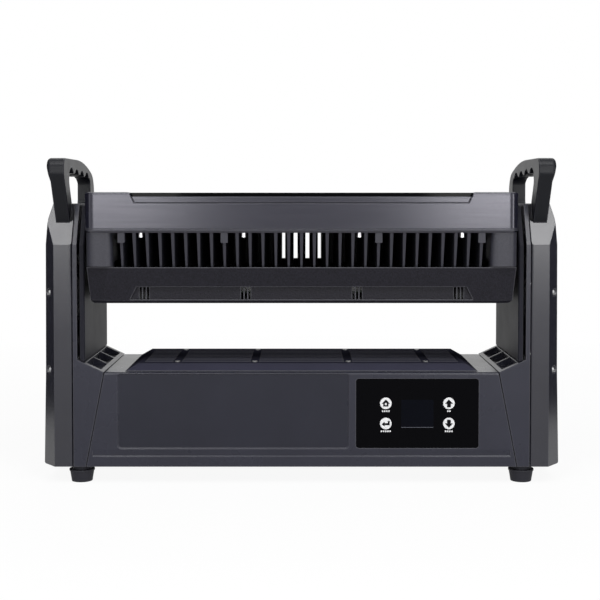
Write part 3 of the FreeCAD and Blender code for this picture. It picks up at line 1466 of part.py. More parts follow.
def rear_cover():
    """Moulded cover under the fins, with its sunk bands, screw channels and fan guards."""
    lower_x = end_bottom_x - REAR_COVER_DRAFT_X
    lower_y = rear_cover_y - REAR_COVER_DRAFT_Y
    upper = cut_rectangle(end_bottom_x, rear_cover_y, REAR_CORNER_WIDTH, REAR_CORNER_DEPTH)
    lower = cut_rectangle(lower_x, lower_y, REAR_CORNER_FOOT_WIDTH, REAR_CORNER_DEPTH)
    solid = loft(lower, head_bottom, upper, fin_bottom)
    solid = solid.makeChamfer(REAR_FOOT_EDGE, edges_at(solid, lambda x, y, z: near(z, head_bottom)))
    room = loft(inset(lower, WALL), cover_floor, inset(upper, WALL), fin_bottom + WALL)
    room = cut(room, recess_block(REAR_RECESS_DEPTH, WALL))
    shell = cut(solid, room, recess_block(REAR_RECESS_DEPTH, 0.0))
    shell = cut(shell, *channel_slots())
    for x in head_fan_xs():
        shell = cut(shell, *guard_cut(x))
    return shell


def led_drivers():
    """Two driver boards between the fans."""
    boards = []
    for x in (-FAN_PITCH / 2, FAN_PITCH / 2):
        w = DRIVER_WIDTH / 2
        half = DRIVER_LENGTH / 2
        z0 = cover_floor + DRIVER_LIFT
        board = box(x - w, x + w, -half, half, z0, z0 + BOARD_THICKNESS)
        legs = []
        for lx in (x - w + BOARD_LEG, x + w - BOARD_LEG):
            for ly in (-half + BOARD_LEG, half - BOARD_LEG):
                legs.append(rod_z(lx, ly, cover_floor, z0, BOARD_LEG))
        boards.append(join(board, *legs))
    return group(boards)


def head_screws():
    """Bright screws under the bezel, in the fin gaps, front and back."""
    screws = []
    y = head_y - BEZEL_RIM / 2 - SCREW_HEAD / 2
    for x in screw_xs():
        for side in (-1, 1):
            head = rod_z(x, side * y, bezel_bottom - SCREW_HEAD_HEIGHT, bezel_bottom, SCREW_HEAD)
            screws.append(head)
    return group(screws)


def light_well():
    return head_x - BEZEL_RIM - LED_BOARD_MARGIN, head_y - BEZEL_RIM - LED_BOARD_MARGIN


def led_board():
    x, y = light_well()
    return slab(x, y, plate_top, led_top, LENS_SEAT)


def color_optics():
    """Two fields of cup optics, one each side of the strobe line."""
    x, y = light_well()
    pitch_x = 2 * x / OPTIC_COLUMNS
    pitch_y = (y - STROBE_OUTER / 2) / OPTIC_ROWS
    optics = []
    for column in range(OPTIC_COLUMNS):
        cx = -x + (column + 0.5) * pitch_x
        for row in range(OPTIC_ROWS):
            cy = STROBE_OUTER / 2 + (row + 0.5) * pitch_y
            for side in (-1, 1):
                foot = vec(cx, side * cy, led_top)
                optics.append(Part.makeCone(OPTIC_BASE_RADIUS, OPTIC_TOP_RADIUS, OPTIC_HEIGHT, foot))
    return group(optics)


def strobe_reflector():
    """Bright trough along the middle of the head."""
    x = light_well()[0] - STROBE_MARGIN
    z1 = led_top + STROBE_HEIGHT
    outer = STROBE_OUTER / 2
    body = box(-x, x, -outer, outer, led_top, z1)
    mouth = STROBE_MOUTH / 2
    slot = STROBE_SLOT / 2
    trough = [
        (-slot, led_top - OVER), (slot, led_top - OVER), (slot, led_top), (mouth, z1),
        (mouth, z1 + OVER), (-mouth, z1 + OVER), (-mouth, z1), (-slot, led_top),
    ]
    end = STROBE_OUTER / 2 - mouth
    return cut(body, along_x(trough, -x + end, x - end))


def strobe_emitters():
    x = light_well()[0] - STROBE_MARGIN
    pitch = 2 * x / (EMITTER_COUNT + 1)
    w = EMITTER_LENGTH / 2
    h = EMITTER_WIDTH / 2
    chips = []
    for index in range(EMITTER_COUNT):
        cx = -x + (index + 1) * pitch
        chips.append(box(cx - w, cx + w, -h, h, led_top, led_top + EMITTER_HEIGHT))
    return group(chips)


def pieces():
    """Every node of the light by name."""
    made = {
        "rubber_feet": rubber_feet(),
        "base_tray": base_tray(),
        "base_cover": base_cover(),
        "base_vent": base_vent(),
        "vent_screws": vent_screws(),
        "bracket_sockets": bracket_sockets(),
        "safety_eye": safety_eye(),
        "control_panel": control_panel(),
        "control_board": control_board(),
        "display_module": display_module(),
        "power_supply": power_supply(),
        "main_board": main_board(),
        "base_fan": base_fan(),
        "base_fan_rotor": base_fan_rotor(),
        "power_inlet": bored_socket(POWER_IN_X, POWER_BORE, POWER_BORE_DEPTH),
        "power_outlet": bored_socket(POWER_OUT_X, POWER_BORE, POWER_BORE_DEPTH),
        "data_input": bored_socket(DATA_IN_X, DATA_BORE, DATA_BORE_DEPTH),
        "data_output": data_output(),
        "fuse_holder": fuse_holder(),
        "yoke_screws": yoke_screws(),
        "upright_left": upright_left(),
        "upright_right": upright(),
        "tilt_motor": tilt_motor(),
        "motor_pulley": motor_pulley(),
        "tilt_belt": tilt_belt(),
        "tilt_pulley": tilt_pulley(),
        "tilt_sensor": tilt_sensor(),
        "head_bezel": head_bezel(),
        "front_lens": front_lens(),
        "lens_gasket": lens_gasket(),
        "led_board": led_board(),
        "color_optics": color_optics(),
        "strobe_reflector": strobe_reflector(),
        "strobe_emitters": strobe_emitters(),
        "heat_sink": heat_sink(),
        "rear_cover": rear_cover(),
        "head_fans": head_fans(),
        "led_drivers": led_drivers(),
        "head_screws": head_screws(),
    }
    for name in key_places():
        made[name] = key(name)
    for index, name in enumerate(("head_fan_rotor_left", "head_fan_rotor_middle", "head_fan_rotor_right")):
        made[name] = head_fan_rotor(index)
    pairs = {
        "yoke_shell": yoke_shell(), "yoke_cover": yoke_cover(), "arm_panel": arm_panel(), "handle": handle(),
        "pivot_bush": pivot_bush(), "trunnion": trunnion(), "head_end": head_end(),
    }
    for name, shape in pairs.items():
        made[name + "_right"] = shape
        made[name + "_left"] = mirrored(shape)
    return made


def main():
    os.makedirs("parts", exist_ok=True)
    for name, shape in pieces().items():
        print(name, len(shape.Solids), round(shape.Volume), shape.isValid())
        shape.exportStep(os.path.join("parts", name + ".step"))


main()
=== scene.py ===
import json
import math

import bmesh
import bpy
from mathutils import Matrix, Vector


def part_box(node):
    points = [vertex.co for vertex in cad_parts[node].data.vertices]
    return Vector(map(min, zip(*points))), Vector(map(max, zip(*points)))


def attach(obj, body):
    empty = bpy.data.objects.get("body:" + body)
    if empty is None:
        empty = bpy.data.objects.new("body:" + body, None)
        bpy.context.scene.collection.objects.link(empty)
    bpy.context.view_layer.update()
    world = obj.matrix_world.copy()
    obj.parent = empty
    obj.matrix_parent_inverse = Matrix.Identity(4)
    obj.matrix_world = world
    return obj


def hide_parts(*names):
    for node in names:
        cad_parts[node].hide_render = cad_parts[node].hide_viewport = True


# Looks of a tilting strobe panel light. Metres, in the model's own frame: X right, Y away, Z up.
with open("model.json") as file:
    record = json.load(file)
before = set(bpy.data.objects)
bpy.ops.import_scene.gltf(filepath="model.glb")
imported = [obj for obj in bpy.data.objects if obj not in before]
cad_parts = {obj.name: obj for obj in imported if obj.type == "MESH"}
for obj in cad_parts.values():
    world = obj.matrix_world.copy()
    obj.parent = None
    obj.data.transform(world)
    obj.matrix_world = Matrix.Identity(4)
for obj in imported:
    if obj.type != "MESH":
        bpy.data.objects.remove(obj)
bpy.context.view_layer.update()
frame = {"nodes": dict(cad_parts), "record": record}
nodes = frame["nodes"]
MM = 0.001
QUARTER_TURN = 90.0
FULL_TURN = 360

# Camera: in front of the control panel, level with the top of the head, looking slightly down
CAMERA_DISTANCE = 1.2967
CAMERA_HEIGHT = 0.29497
CAMERA_TILT = 2.0
CAMERA_LENS = 71.89
CAMERA_SHIFT = (-0.0025, -0.1023)

# Studio
FLOOR_REACH = 25.0
FLOOR_DROP = 0.0003
FLOOR_COLOUR = (0.9, 0.9, 0.9)
FLOOR_GLOW_NEAR = 0.92
FLOOR_NEAR = 0.35
FLOOR_FAR = 1.3
ROOM_LEVEL = 0.15
LIGHT_AIM = (0.0, 0.0, 0.22)
LIGHTS = {
    "key_left": {"place": (-0.57, -1.2, 1.42), "size": (0.5, 0.55), "watts": 8.4},
    "key_right": {"place": (0.57, -1.2, 1.42), "size": (0.5, 0.55), "watts": 10.0},
    "fill_left": {"place": (-0.66, -2.0, 0.4), "size": (0.7, 0.4), "watts": 7.2},
    "fill_right": {"place": (0.68, -2.0, 0.4), "size": (0.7, 0.4), "watts": 9.5},
    "side_left": {"place": (-1.7, -1.0, 0.35), "size": (0.3, 1.0), "watts": 0.7},
    "side_right": {"place": (1.7, -1.0, 0.35), "size": (0.3, 1.0), "watts": 6.0},
    "edge_strip": {"place": (0.0, -0.55, 1.5), "size": (1.6, 0.35), "watts": 8.0},
    "back": {"place": (0.0, 1.5, 2.0), "size": (1.4, 0.5), "watts": 12.0},
}
# Dark cards beside the arms, for their outer edges to show
CARD_PLACE = (0.6, 0.45)
CARD_SIZE = (1.4, 0.6)

# Textures that the finishes share: widths and heights of a grain, and how far a tone or a sheen wanders
NOISE_SPREAD = (0.3, 0.7)
NOISE_DETAIL = 3.0
EVEN = (1.0, 1.0, 1.0)
MOULD_TEXTURE = 0.7 * MM
MOULD_RELIEF = 0.03 * MM
MOULD_SPREAD = 0.06
MOULD_SPECK = 45 * MM
MOULD_SHEEN = 0.02
MOULD_SHEEN_WIDTH = 30 * MM
BRUSH_STRETCH = (60.0, 1.0, 1.0)
BRUSH_SPREAD = 0.15
BRUSH_SPECK = 1.1 * MM
BRUSH_SHEEN = 0.03
BRUSH_SHEEN_WIDTH = 0.9 * MM
BRUSH_TEXTURE = 0.8 * MM
BRUSH_RELIEF = 0.012 * MM
CLEAR_SPREAD = 0.02
CLEAR_SPECK = 60 * MM
CLEAR_HAZE = 0.03
CLEAR_HAZE_WIDTH = 25 * MM
BOARD_CELL = 4 * MM
BOARD_TRACK = (0.55, 0.6)
BOARD_ROUGHNESS = (0.3, 0.5)
BOARD_SHEEN_WIDTH = 6 * MM
MIDDLE_SPECULAR = 0.5

# Edges of the mouldings: how round they look, how wide the painted edge highlight is, and the tones of that
# painted highlight
EDGE_ROUND = 0.9 * MM
EDGE_HIGHLIGHT_WIDTH = 1.0 * MM
EDGE_SAMPLES = 6
HIGHLIGHT_STARTS = 0.98
HIGHLIGHT_FULL = 0.62
# Tones of the painted highlights along the outer edges: middling, faint and strong
EDGE_HIGHLIGHT = (0.05, 0.05, 0.06)
FAINT_EDGE_HIGHLIGHT = (0.025, 0.025, 0.03)
STRONG_EDGE_HIGHLIGHT = (0.075, 0.075, 0.085)
COOL_SHEEN = (0.92, 0.91, 1.0)

# Grains of the castings
CAST = dict(texture=1.3 * MM, relief=0.1 * MM, spread=0.25, speck=1.3 * MM)
COARSE = dict(texture=1.4 * MM, relief=0.45 * MM, spread=0.5, speck=1.4 * MM)

# Finishes, by the record's material slots, and a few of the scene's own
# edge: the tone of a painted highlight along a finish's outer edges
MOULDED = {
    "moulded_black": dict(colour=(0.018, 0.0185, 0.0285), roughness=0.28, specular=0.25, edge=EDGE_HIGHLIGHT),
    "arm_cover": dict(colour=(0.0165, 0.0165, 0.023), roughness=0.23, specular=0.43, edge=EDGE_HIGHLIGHT),
    "arm_panel": dict(colour=(0.0115, 0.0115, 0.0165), roughness=0.5, specular=0.07, edge=FAINT_EDGE_HIGHLIGHT),
    "handle": dict(colour=(0.0032, 0.0037, 0.006), roughness=0.38, specular=0.18, edge=EDGE_HIGHLIGHT),
    "vent": dict(colour=(0.033, 0.033, 0.05), roughness=0.55, specular=0.0, edge=STRONG_EDGE_HIGHLIGHT),
    "rubber": dict(colour=(0.014, 0.014, 0.019), roughness=0.6, specular=0.2, edge=FAINT_EDGE_HIGHLIGHT,
                   texture=0.9 * MM, relief=0.05 * MM),
    "tray_steel": dict(colour=(0.02, 0.02, 0.023), roughness=0.5, specular=0.35,
                       texture=0.6 * MM, relief=0.04 * MM),
    "panel_glass": dict(colour=(0.0008, 0.0008, 0.0014), roughness=0.07, specular=0.04,
                        texture=9 * MM, relief=0.002 * MM),
    "key_white": dict(colour=(0.62, 0.62, 0.63), roughness=0.35, specular=0.3,
                      texture=0.8 * MM, relief=0.01 * MM, spread=0.03),
    "key_ink": dict(colour=(0.002, 0.002, 0.003), roughness=0.5, specular=0.05,
                    texture=0.6 * MM, relief=0.005 * MM),
    "display": dict(colour=(0.0015, 0.0019, 0.004), roughness=0.12, specular=0.04,
                    texture=3 * MM, relief=0.002 * MM),
    "display_line": dict(colour=(0.07, 0.075, 0.09), roughness=0.4, specular=0.2,
                         texture=2 * MM, relief=0.002 * MM),
    "field_plate": dict(colour=(0.0132, 0.0137, 0.0215), roughness=0.3, specular=0.2,
                        texture=0.6 * MM, relief=0.02 * MM),
    "fan": dict(colour=(0.016, 0.016, 0.018), roughness=0.5, specular=0.3),
    "emitter": dict(colour=(0.8, 0.68, 0.16), roughness=0.45, specular=0.4,
                    texture=0.9 * MM, relief=0.02 * MM),
    "heat_sink": dict(colour=(0.02, 0.02, 0.028), roughness=0.45, specular=0.3,
                      texture=0.8 * MM, relief=0.02 * MM),
    "head_end": dict(colour=(0.028, 0.028, 0.037), roughness=0.36, specular=0.36, edge=EDGE_HIGHLIGHT, **CAST),
    "rear_cover": dict(colour=(0.0088, 0.0083, 0.0125), roughness=0.4, specular=0.14, edge=STRONG_EDGE_HIGHLIGHT, **COARSE),
    "power_in_socket": dict(colour=(0.02, 0.05, 0.22), roughness=0.35, specular=0.4),
    "power_out_socket": dict(colour=(0.36, 0.36, 0.37), roughness=0.35, specular=0.4),
    "dark_card": dict(colour=(0.02, 0.02, 0.02), roughness=0.9, specular=0.0),
}
BRUSHED = {
    "screw_steel": dict(colour=(0.6, 0.59, 0.6), roughness=0.3),
    "screw_dull": dict(colour=(0.22, 0.22, 0.225), roughness=0.45),
    "trunnion": dict(colour=(0.05, 0.05, 0.054), roughness=0.4, metallic=0.7),
    "supply": dict(colour=(0.45, 0.46, 0.47), roughness=0.4, metallic=0.9),
    "motor": dict(colour=(0.12, 0.12, 0.125), roughness=0.42, metallic=0.8),
    "pulley": dict(colour=(0.62, 0.62, 0.64), roughness=0.3),
    "bush": dict(colour=(0.5, 0.36, 0.16), roughness=0.38),
    "reflector": dict(colour=(0.86, 0.86, 0.87), roughness=0.16),
    "bezel": dict(colour=(0.008, 0.008, 0.0145), roughness=0.2, metallic=0.0, specular=0.55,
                  spread=0.06, edge=EDGE_HIGHLIGHT),
}
CLEAR = {
    "lens": dict(colour=(0.96, 0.97, 0.98), roughness=0.03, ior=1.49),
    "optic": dict(colour=(0.95, 0.96, 0.97), roughness=0.06, ior=1.49),
}
BOARDS = {
    "board": dict(mask=(0.005, 0.011, 0.008), copper=(0.015, 0.03, 0.02)),
}

# Nodes whose finish isn't that of their slot
OWN_FINISHES = {"yoke_screws": "screw_dull", "vent_screws": "screw_dull"}

# Symbols on the keys, in millimetres from the middle of the key
HOUSE_OUTER = ((-2.8, -3.2), (2.8, -3.2), (2.8, -0.3), (4.2, -0.1), (0.0, 4.1), (-4.2, -0.1), (-2.8, -0.3))
HOUSE_INNER = ((-1.0, -1.6), (1.0, -1.6), (1.0, -0.2), (0.9, 0.0), (0.0, 0.9), (-0.9, 0.0), (-1.0, -0.2))
UP_ARROW = ((-1.9, -4.0), (1.9, -4.0), (1.9, -0.3), (4.1, -0.3), (0.0, 4.3), (-4.1, -0.3), (-1.9, -0.3))
DOWN_ARROW = tuple((u, -v) for u, v in UP_ARROW)
ENTER_ARROW = (
    (-4.3, -0.6), (-1.3, -3.0), (-1.3, -1.6), (4.1, -1.6), (4.1, 2.7), (2.1, 2.7), (2.1, 0.4),
    (-1.3, 0.4), (-1.3, 1.8),
)
ARROWS = {"enter": ENTER_ARROW, "up": UP_ARROW, "down": DOWN_ARROW}
ICON_RAISE = 0.12 * MM

# Prints on the control panel
PRINT_RAISE = 0.05 * MM
PRINT_SINK = 0.1 * MM
PRINT_CORNER = 0.2 * MM
LABEL_DROP = 8.0 * MM
LABEL_BLOCK = (1.5 * MM, 1.6 * MM)
LABEL_PITCH = 2.2 * MM
LABEL_BLOCKS = {"home_key": 4, "enter_key": 5, "up_key": 2, "down_key": 4}
DISPLAY_MARGIN = 4.4 * MM
DISPLAY_LINE = 0.5 * MM

# Plate in the front's sunk field
FIELD_FROM_LEFT = 33.0 * MM
FIELD_FROM_TOP = 1.8 * MM
FIELD_SIZE = (236.0 * MM, 76.0 * MM)
FIELD_SINK = 1.4 * MM
FIELD_PLATE = 0.25 * MM
FIELD_PLATE_IN = 0.8 * MM
FIELD_CORNER = 2.4 * MM

# Rubber strips behind the slanting seams between the base's front and the arms' feet
SEAL_TOP = (204.2 * MM, 108.0 * MM)
SEAL_FOOT = (220.8 * MM, 20.0 * MM)
SEAL_HALF = 3.0 * MM
SEAL_BEHIND = 3.2 * MM
SEAL_THICK = 0.6 * MM

# Front pane of the head
PANE_BORDER = 11.0 * MM
PANE_CORNER = 4.0 * MM
CORNER_STEPS = 6

# Screws and sockets
LOOSE_REACH = 20.0 * MM
DRIVE_SIDES = 6
DRIVE_SHARE = 0.45
DRIVE_SINK = 0.3 * MM
SOCKETS = ("power_inlet", "power_outlet", "data_input", "data_output")
SOCKET_SCREW_PLACE = (10.5 * MM, 13.0 * MM)
SOCKET_SCREW_RADIUS = 1.7 * MM
SOCKET_SCREW_HEIGHT = 0.5 * MM
SOCKET_SCREW_SIDES = 12
PIN_RADIUS = 1.2 * MM
PIN_SIDES = 16
PIN_PLACES = ((-3.6 * MM, 2.0 * MM), (3.6 * MM, 2.0 * MM), (0.0, -3.8 * MM))
PIN_FLOOR = 12.0 * MM
PIN_SINK = 2.5 * MM
CORE_SLOTS = {"power_inlet": "power_in_socket", "power_outlet": "power_out_socket"}
CORE_RADIUS = 6.4 * MM
CORE_NOTCH = 4.4 * MM
CORE_NOTCH_ANGLE = 14.0
CORE_NOTCHES = (90.0, 210.0, 330.0)
CORE_STEP = 6
CORE_FLOOR = 16.0 * MM
CORE_SINK = 2.0 * MM
FUSE_SLOT = (11.0 * MM, 1.6 * MM)


# Material tools

def new_material(name, roughness, specular, metallic=0.0):
    """A Principled material whose even values sit on the shader itself."""
    material = bpy.data.materials.new(name)
    material.use_nodes = True
    shader = shader_of(material)
    shader.inputs["Roughness"].default_value = roughness
    shader.inputs["Specular IOR Level"].default_value = specular
    shader.inputs["Metallic"].default_value = metallic
    return material


def shader_of(material):
    return material.node_tree.nodes["Principled BSDF"]


def add_node(material, kind, **inputs):
    """A new node; an input's name has _ where the socket's has a space."""
    node = material.node_tree.nodes.new(kind)
    for name, value in inputs.items():
        node.inputs[name.replace("_", " ")].default_value = value
    return node


def link(material, output, target):
    material.node_tree.links.new(output, target)


def noise(material, size, stretch=EVEN):
    """Noise with features about size metres across, drawn out along an axis whose stretch is above 1."""
    place = add_node(material, "ShaderNodeTexCoord")
    mapping = add_node(material, "ShaderNodeMapping", Scale=tuple(1.0 / s for s in stretch))
    texture = add_node(material, "ShaderNodeTexNoise", Scale=1.0 / size, Detail=NOISE_DETAIL)
    link(material, place.outputs["Object"], mapping.inputs["Vector"])
    link(material, mapping.outputs["Vector"], texture.inputs["Vector"])
    return texture.outputs["Fac"]


def two_tones(material, dark, light, positions, value):
    """Base colour that turns from one tone to the other as value goes from one position to the other."""
    ramp = add_node(material, "ShaderNodeValToRGB")
    for element, position, tone in zip(ramp.color_ramp.elements, positions, (dark, light)):
        element.position = position
        element.color = (*tone, 1.0)
    link(material, value, ramp.inputs["Fac"])
    link(material, ramp.outputs["Color"], shader_of(material).inputs["Base Color"])


def tint(material, colour, spread, size, stretch=EVEN):
    """Base colour that wanders to both sides of one colour."""
    dark = tuple(c * (1.0 - spread) for c in colour)
    light = tuple(c * (1.0 + spread) for c in colour)
    two_tones(material, dark, light, NOISE_SPREAD, noise(material, size, stretch))


def vary_roughness(material, low, high, size, stretch=EVEN):
    """Roughness that wanders between two values."""
    limits = {"From_Min": NOISE_SPREAD[0], "From_Max": NOISE_SPREAD[1], "To_Min": low, "To_Max": high}
    spread = add_node(material, "ShaderNodeMapRange", **limits)
    link(material, noise(material, size, stretch), spread.inputs["Value"])
    link(material, spread.outputs["Result"], shader_of(material).inputs["Roughness"])


def soften_edges(material):
    """Shading that turns round each edge, as a moulded or cast edge does."""
    bevel = add_node(material, "ShaderNodeBevel", Radius=EDGE_ROUND)
    bevel.samples = EDGE_SAMPLES
    link(material, bevel.outputs["Normal"], shader_of(material).inputs["Normal"])


def paint_edge_highlights(material, colour):
    """Painted highlight: a paler tone along the outer edges, where the inside of the solid is close behind
    the surface.
    """
    inside = add_node(material, "ShaderNodeAmbientOcclusion", Distance=EDGE_HIGHLIGHT_WIDTH)
    inside.inside = True
    inside.only_local = True
    inside.samples = EDGE_SAMPLES
    limits = {"From_Min": HIGHLIGHT_STARTS, "From_Max": HIGHLIGHT_FULL, "To_Min": 0.0, "To_Max": 1.0}
    mask = add_node(material, "ShaderNodeMapRange", **limits)
    mix = add_node(material, "ShaderNodeMixRGB", Color2=(*colour, 1.0))
    base = shader_of(material).inputs["Base Color"]
    link(material, inside.outputs["AO"], mask.inputs["Value"])
    link(material, mask.outputs["Result"], mix.inputs["Fac"])
    link(material, base.links[0].from_socket, mix.inputs["Color1"])
    link(material, mix.outputs["Color"], base)


def grain(material, size, height, stretch=EVEN):
    """Raised grain, added on top of what already shapes the material's surface."""
    normal = shader_of(material).inputs["Normal"]
    bump = add_node(material, "ShaderNodeBump", Strength=1.0, Distance=height)
    if normal.is_linked:
        link(material, normal.links[0].from_socket, bump.inputs["Normal"])
    link(material, noise(material, size, stretch), bump.inputs["Height"])
    link(material, bump.outputs["Normal"], normal)


def moulded(name, colour, roughness, specular, texture=MOULD_TEXTURE, relief=MOULD_RELIEF,
            spread=MOULD_SPREAD, speck=MOULD_SPECK, edge=None):
    """Moulded plastic: a fine even texture, with drifts in tone as wide as speck and others in sheen."""
    material = new_material(name, roughness, specular)
    tint(material, colour, spread, speck)
    vary_roughness(material, roughness - MOULD_SHEEN, roughness + MOULD_SHEEN, MOULD_SHEEN_WIDTH)
    # An edge tone paints a highlight along the outer edges
    if edge:
        soften_edges(material)
        paint_edge_highlights(material, edge)
    grain(material, texture, relief)
    return material


def brushed(name, colour, roughness, metallic=1.0, specular=MIDDLE_SPECULAR, spread=BRUSH_SPREAD, edge=None):
    """Metal or paint with a fine grain drawn out along X."""
    material = new_material(name, roughness, specular, metallic)
    tint(material, colour, spread, BRUSH_SPECK, BRUSH_STRETCH)
    low, high = roughness - BRUSH_SHEEN, roughness + BRUSH_SHEEN
    vary_roughness(material, low, high, BRUSH_SHEEN_WIDTH, BRUSH_STRETCH)
    # An edge tone paints a highlight along the outer edges
    if edge:
        shader_of(material).inputs["Specular Tint"].default_value = (*COOL_SHEEN, 1.0)
        soften_edges(material)
        paint_edge_highlights(material, edge)
    grain(material, BRUSH_TEXTURE, BRUSH_RELIEF, BRUSH_STRETCH)
    return material


def clear(name, colour, roughness, ior):
    """Clear plastic or glass with a trace of haze."""
    material = new_material(name, roughness, MIDDLE_SPECULAR)
    shader = shader_of(material)
    shader.inputs["Transmission Weight"].default_value = 1.0
    shader.inputs["IOR"].default_value = ior
    tint(material, colour, CLEAR_SPREAD, CLEAR_SPECK)
    vary_roughness(material, roughness, roughness + CLEAR_HAZE, CLEAR_HAZE_WIDTH)
    return material


def circuit_board(name, mask, copper, roughness=0.4, specular=0.4):
    """Solder mask with lighter tracks that follow a cell pattern."""
    material = new_material(name, roughness, specular)
    place = add_node(material, "ShaderNodeTexCoord")
    cells = add_node(material, "ShaderNodeTexVoronoi", Scale=1.0 / BOARD_CELL)
    cells.distance = "MANHATTAN"
    link(material, place.outputs["Object"], cells.inputs["Vector"])
    two_tones(material, mask, copper, BOARD_TRACK, cells.outputs["Distance"])
    vary_roughness(material, *BOARD_ROUGHNESS, BOARD_SHEEN_WIDTH)
    return material


def make_finishes():
    finishes = {}
    kinds = ((moulded, MOULDED), (brushed, BRUSHED), (clear, CLEAR), (circuit_board, BOARDS))
    for make, table in kinds:
        for name, values in table.items():
            finishes[name] = make(name, **values)
    return finishes


def dress_nodes(finishes):
    """Gives every CAD node the finish of its slot."""
    for part in frame["record"]["subparts"]:
        finish = OWN_FINISHES.get(part["node"], part["material_slot"])
        for slot in nodes[part["node"]].material_slots:
            slot.material = finishes[finish]


# Mesh tools

def add_piece(name, points, faces, finish, slot, body):
    """A new piece that rides on a body."""
    mesh = bpy.data.meshes.new(name)
    mesh.from_pydata(points, [], faces)
    solid = bmesh.new()
    solid.from_mesh(mesh)
    bmesh.ops.recalc_face_normals(solid, faces=solid.faces)
    solid.to_mesh(mesh)
    solid.free()
    piece = bpy.data.objects.new(name, mesh)
    bpy.context.collection.objects.link(piece)
    mesh.materials.append(finish)
    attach(piece, body)
    return piece


def add_plane(name, corners, finish):
    """A flat face that belongs to the stage."""
    mesh = bpy.data.meshes.new(name)
    mesh.from_pydata(corners, [], [tuple(range(len(corners)))])
    mesh.materials.append(finish)
    plane = bpy.data.objects.new(name, mesh)
    bpy.context.collection.objects.link(plane)
    return plane


def prism(outline, start, end, at):
    """Points and faces of an outline drawn out between two levels; at turns (u, v, level) into a point."""
    count = len(outline)
    points = [at(u, v, level) for level in (start, end) for u, v in outline]
    sides = [(i, (i + 1) % count, count + (i + 1) % count, count + i) for i in range(count)]
    caps = [tuple(reversed(range(count))), tuple(range(count, 2 * count))]
    return points, caps + sides


def ring(outer, inner, start, end, at):
    """Points and faces of a ring between two outlines that have as many points."""
    count = len(outer)
    points = [at(u, v, level) for level in (start, end) for outline in (outer, inner) for u, v in outline]
    faces = []
    for i in range(count):
        j = (i + 1) % count
        faces.append((i, j, count + j, count + i))
        faces.append((2 * count + j, 2 * count + i, 3 * count + i, 3 * count + j))
        faces.append((j, i, 2 * count + i, 2 * count + j))
        faces.append((count + i, count + j, 3 * count + j, 3 * count + i))
    return points, faces


def facing_front(u, v, level):
    return (u, level, v)


def facing_up(u, v, level):
    return (u, v, level)


def facing_side(u, v, level):
    return (level, u, v)


def rounded_rectangle(low, high, radius):
    """Outline of a rectangle whose corners are arcs."""
    corners = [
        (high[0] - radius, high[1] - radius), (low[0] + radius, high[1] - radius),
        (low[0] + radius, low[1] + radius), (high[0] - radius, low[1] + radius),
    ]
    points = []
    for quarter, (u, v) in enumerate(corners):
        for step in range(CORNER_STEPS + 1):
            angle = math.radians(QUARTER_TURN * (quarter + step / CORNER_STEPS))
            points.append((u + radius * math.cos(angle), v + radius * math.sin(angle)))
    return points


def regular(u, v, radius, sides):
    """Outline of a polygon with equal sides about a point."""
    angles = [2.0 * math.pi * i / sides for i in range(sides)]
    return [(u + radius * math.cos(a), v + radius * math.sin(a)) for a in angles]


def gathered(shapes):
    """Several solids as the points and faces of one mesh."""
    points = []
    faces = []
    for more_points, more_faces in shapes:
        start = len(points)
        points += more_points
        faces += [tuple(start + i for i in face) for face in more_faces]
    return points, faces


def loose_boxes(node):
    """Boxes of a node's separate solids, which are smaller than LOOSE_REACH and further apart than that."""
    groups = []
    place = nodes[node].matrix_world
    for vertex in nodes[node].data.vertices:
        point = place @ vertex.co
        near = [group for group in groups if (group[0] - point).length < LOOSE_REACH]
        if near:
            near[0].append(point)
        else:
            groups.append([point])
    lows = [Vector(min(axis) for axis in zip(*group)) for group in groups]
    highs = [Vector(max(axis) for axis in zip(*group)) for group in groups]
    return list(zip(lows, highs))


# Control panel

def key_front(key):
    """Middle of a key's face."""
    low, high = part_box(key)
    return (low.x + high.x) / 2, low.y, (low.z + high.z) / 2


def placed(symbol, u, v):
    """A symbol's outline about a point."""
    return [(u + du * MM, v + dv * MM) for du, dv in symbol]


def make_icons(ink):
    """Symbols that lie on the keys and move with them."""
    x, y, z = key_front("home_key")
    outer = placed(HOUSE_OUTER, x, z)
    inner = placed(HOUSE_INNER, x, z)
    shape = ring(outer, inner, y - ICON_RAISE, y, facing_front)
    add_piece("home_icon", *shape, ink, "panel_glass", "home_button")
    for name, symbol in ARROWS.items():
        x, y, z = key_front(f"{name}_key")
        shape = prism(placed(symbol, x, z), y - ICON_RAISE, y, facing_front)
        add_piece(f"{name}_icon", *shape, ink, "panel_glass", f"{name}_button")


def print_shape(low, high):
    """Thin print on the front of the panel's window."""
    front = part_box("control_panel")[0].y
    outline = rounded_rectangle(low, high, PRINT_CORNER)
    return prism(outline, front - PRINT_RAISE, front + PRINT_SINK, facing_front)


def make_labels(white):
    """A row of plain blocks under each key."""
    wide, tall = LABEL_BLOCK
    for key, count in LABEL_BLOCKS.items():
        x, _, z = key_front(key)
        v = z - LABEL_DROP
        shapes = []
        for i in range(count):
            u = x + (i - (count - 1) / 2) * LABEL_PITCH
            shapes.append(print_shape((u - wide / 2, v - tall / 2), (u + wide / 2, v + tall / 2)))
        add_piece(key.replace("key", "label"), *gathered(shapes), white, "key_white", "base")


def make_display(dark, line):
    """The screen's place behind the window, with the lit edge of the screen below it."""
    low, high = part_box("display_module")
    m = DISPLAY_MARGIN
    screen = print_shape((low.x + m, low.z + m), (high.x - m, high.z - m))
    edge = print_shape((low.x + m, low.z + m - DISPLAY_LINE), (high.x - m, low.z + m))
    add_piece("display_screen", *screen, dark, "display", "base")
    add_piece("display_edge", *edge, line, "display", "base")


# Front of the base

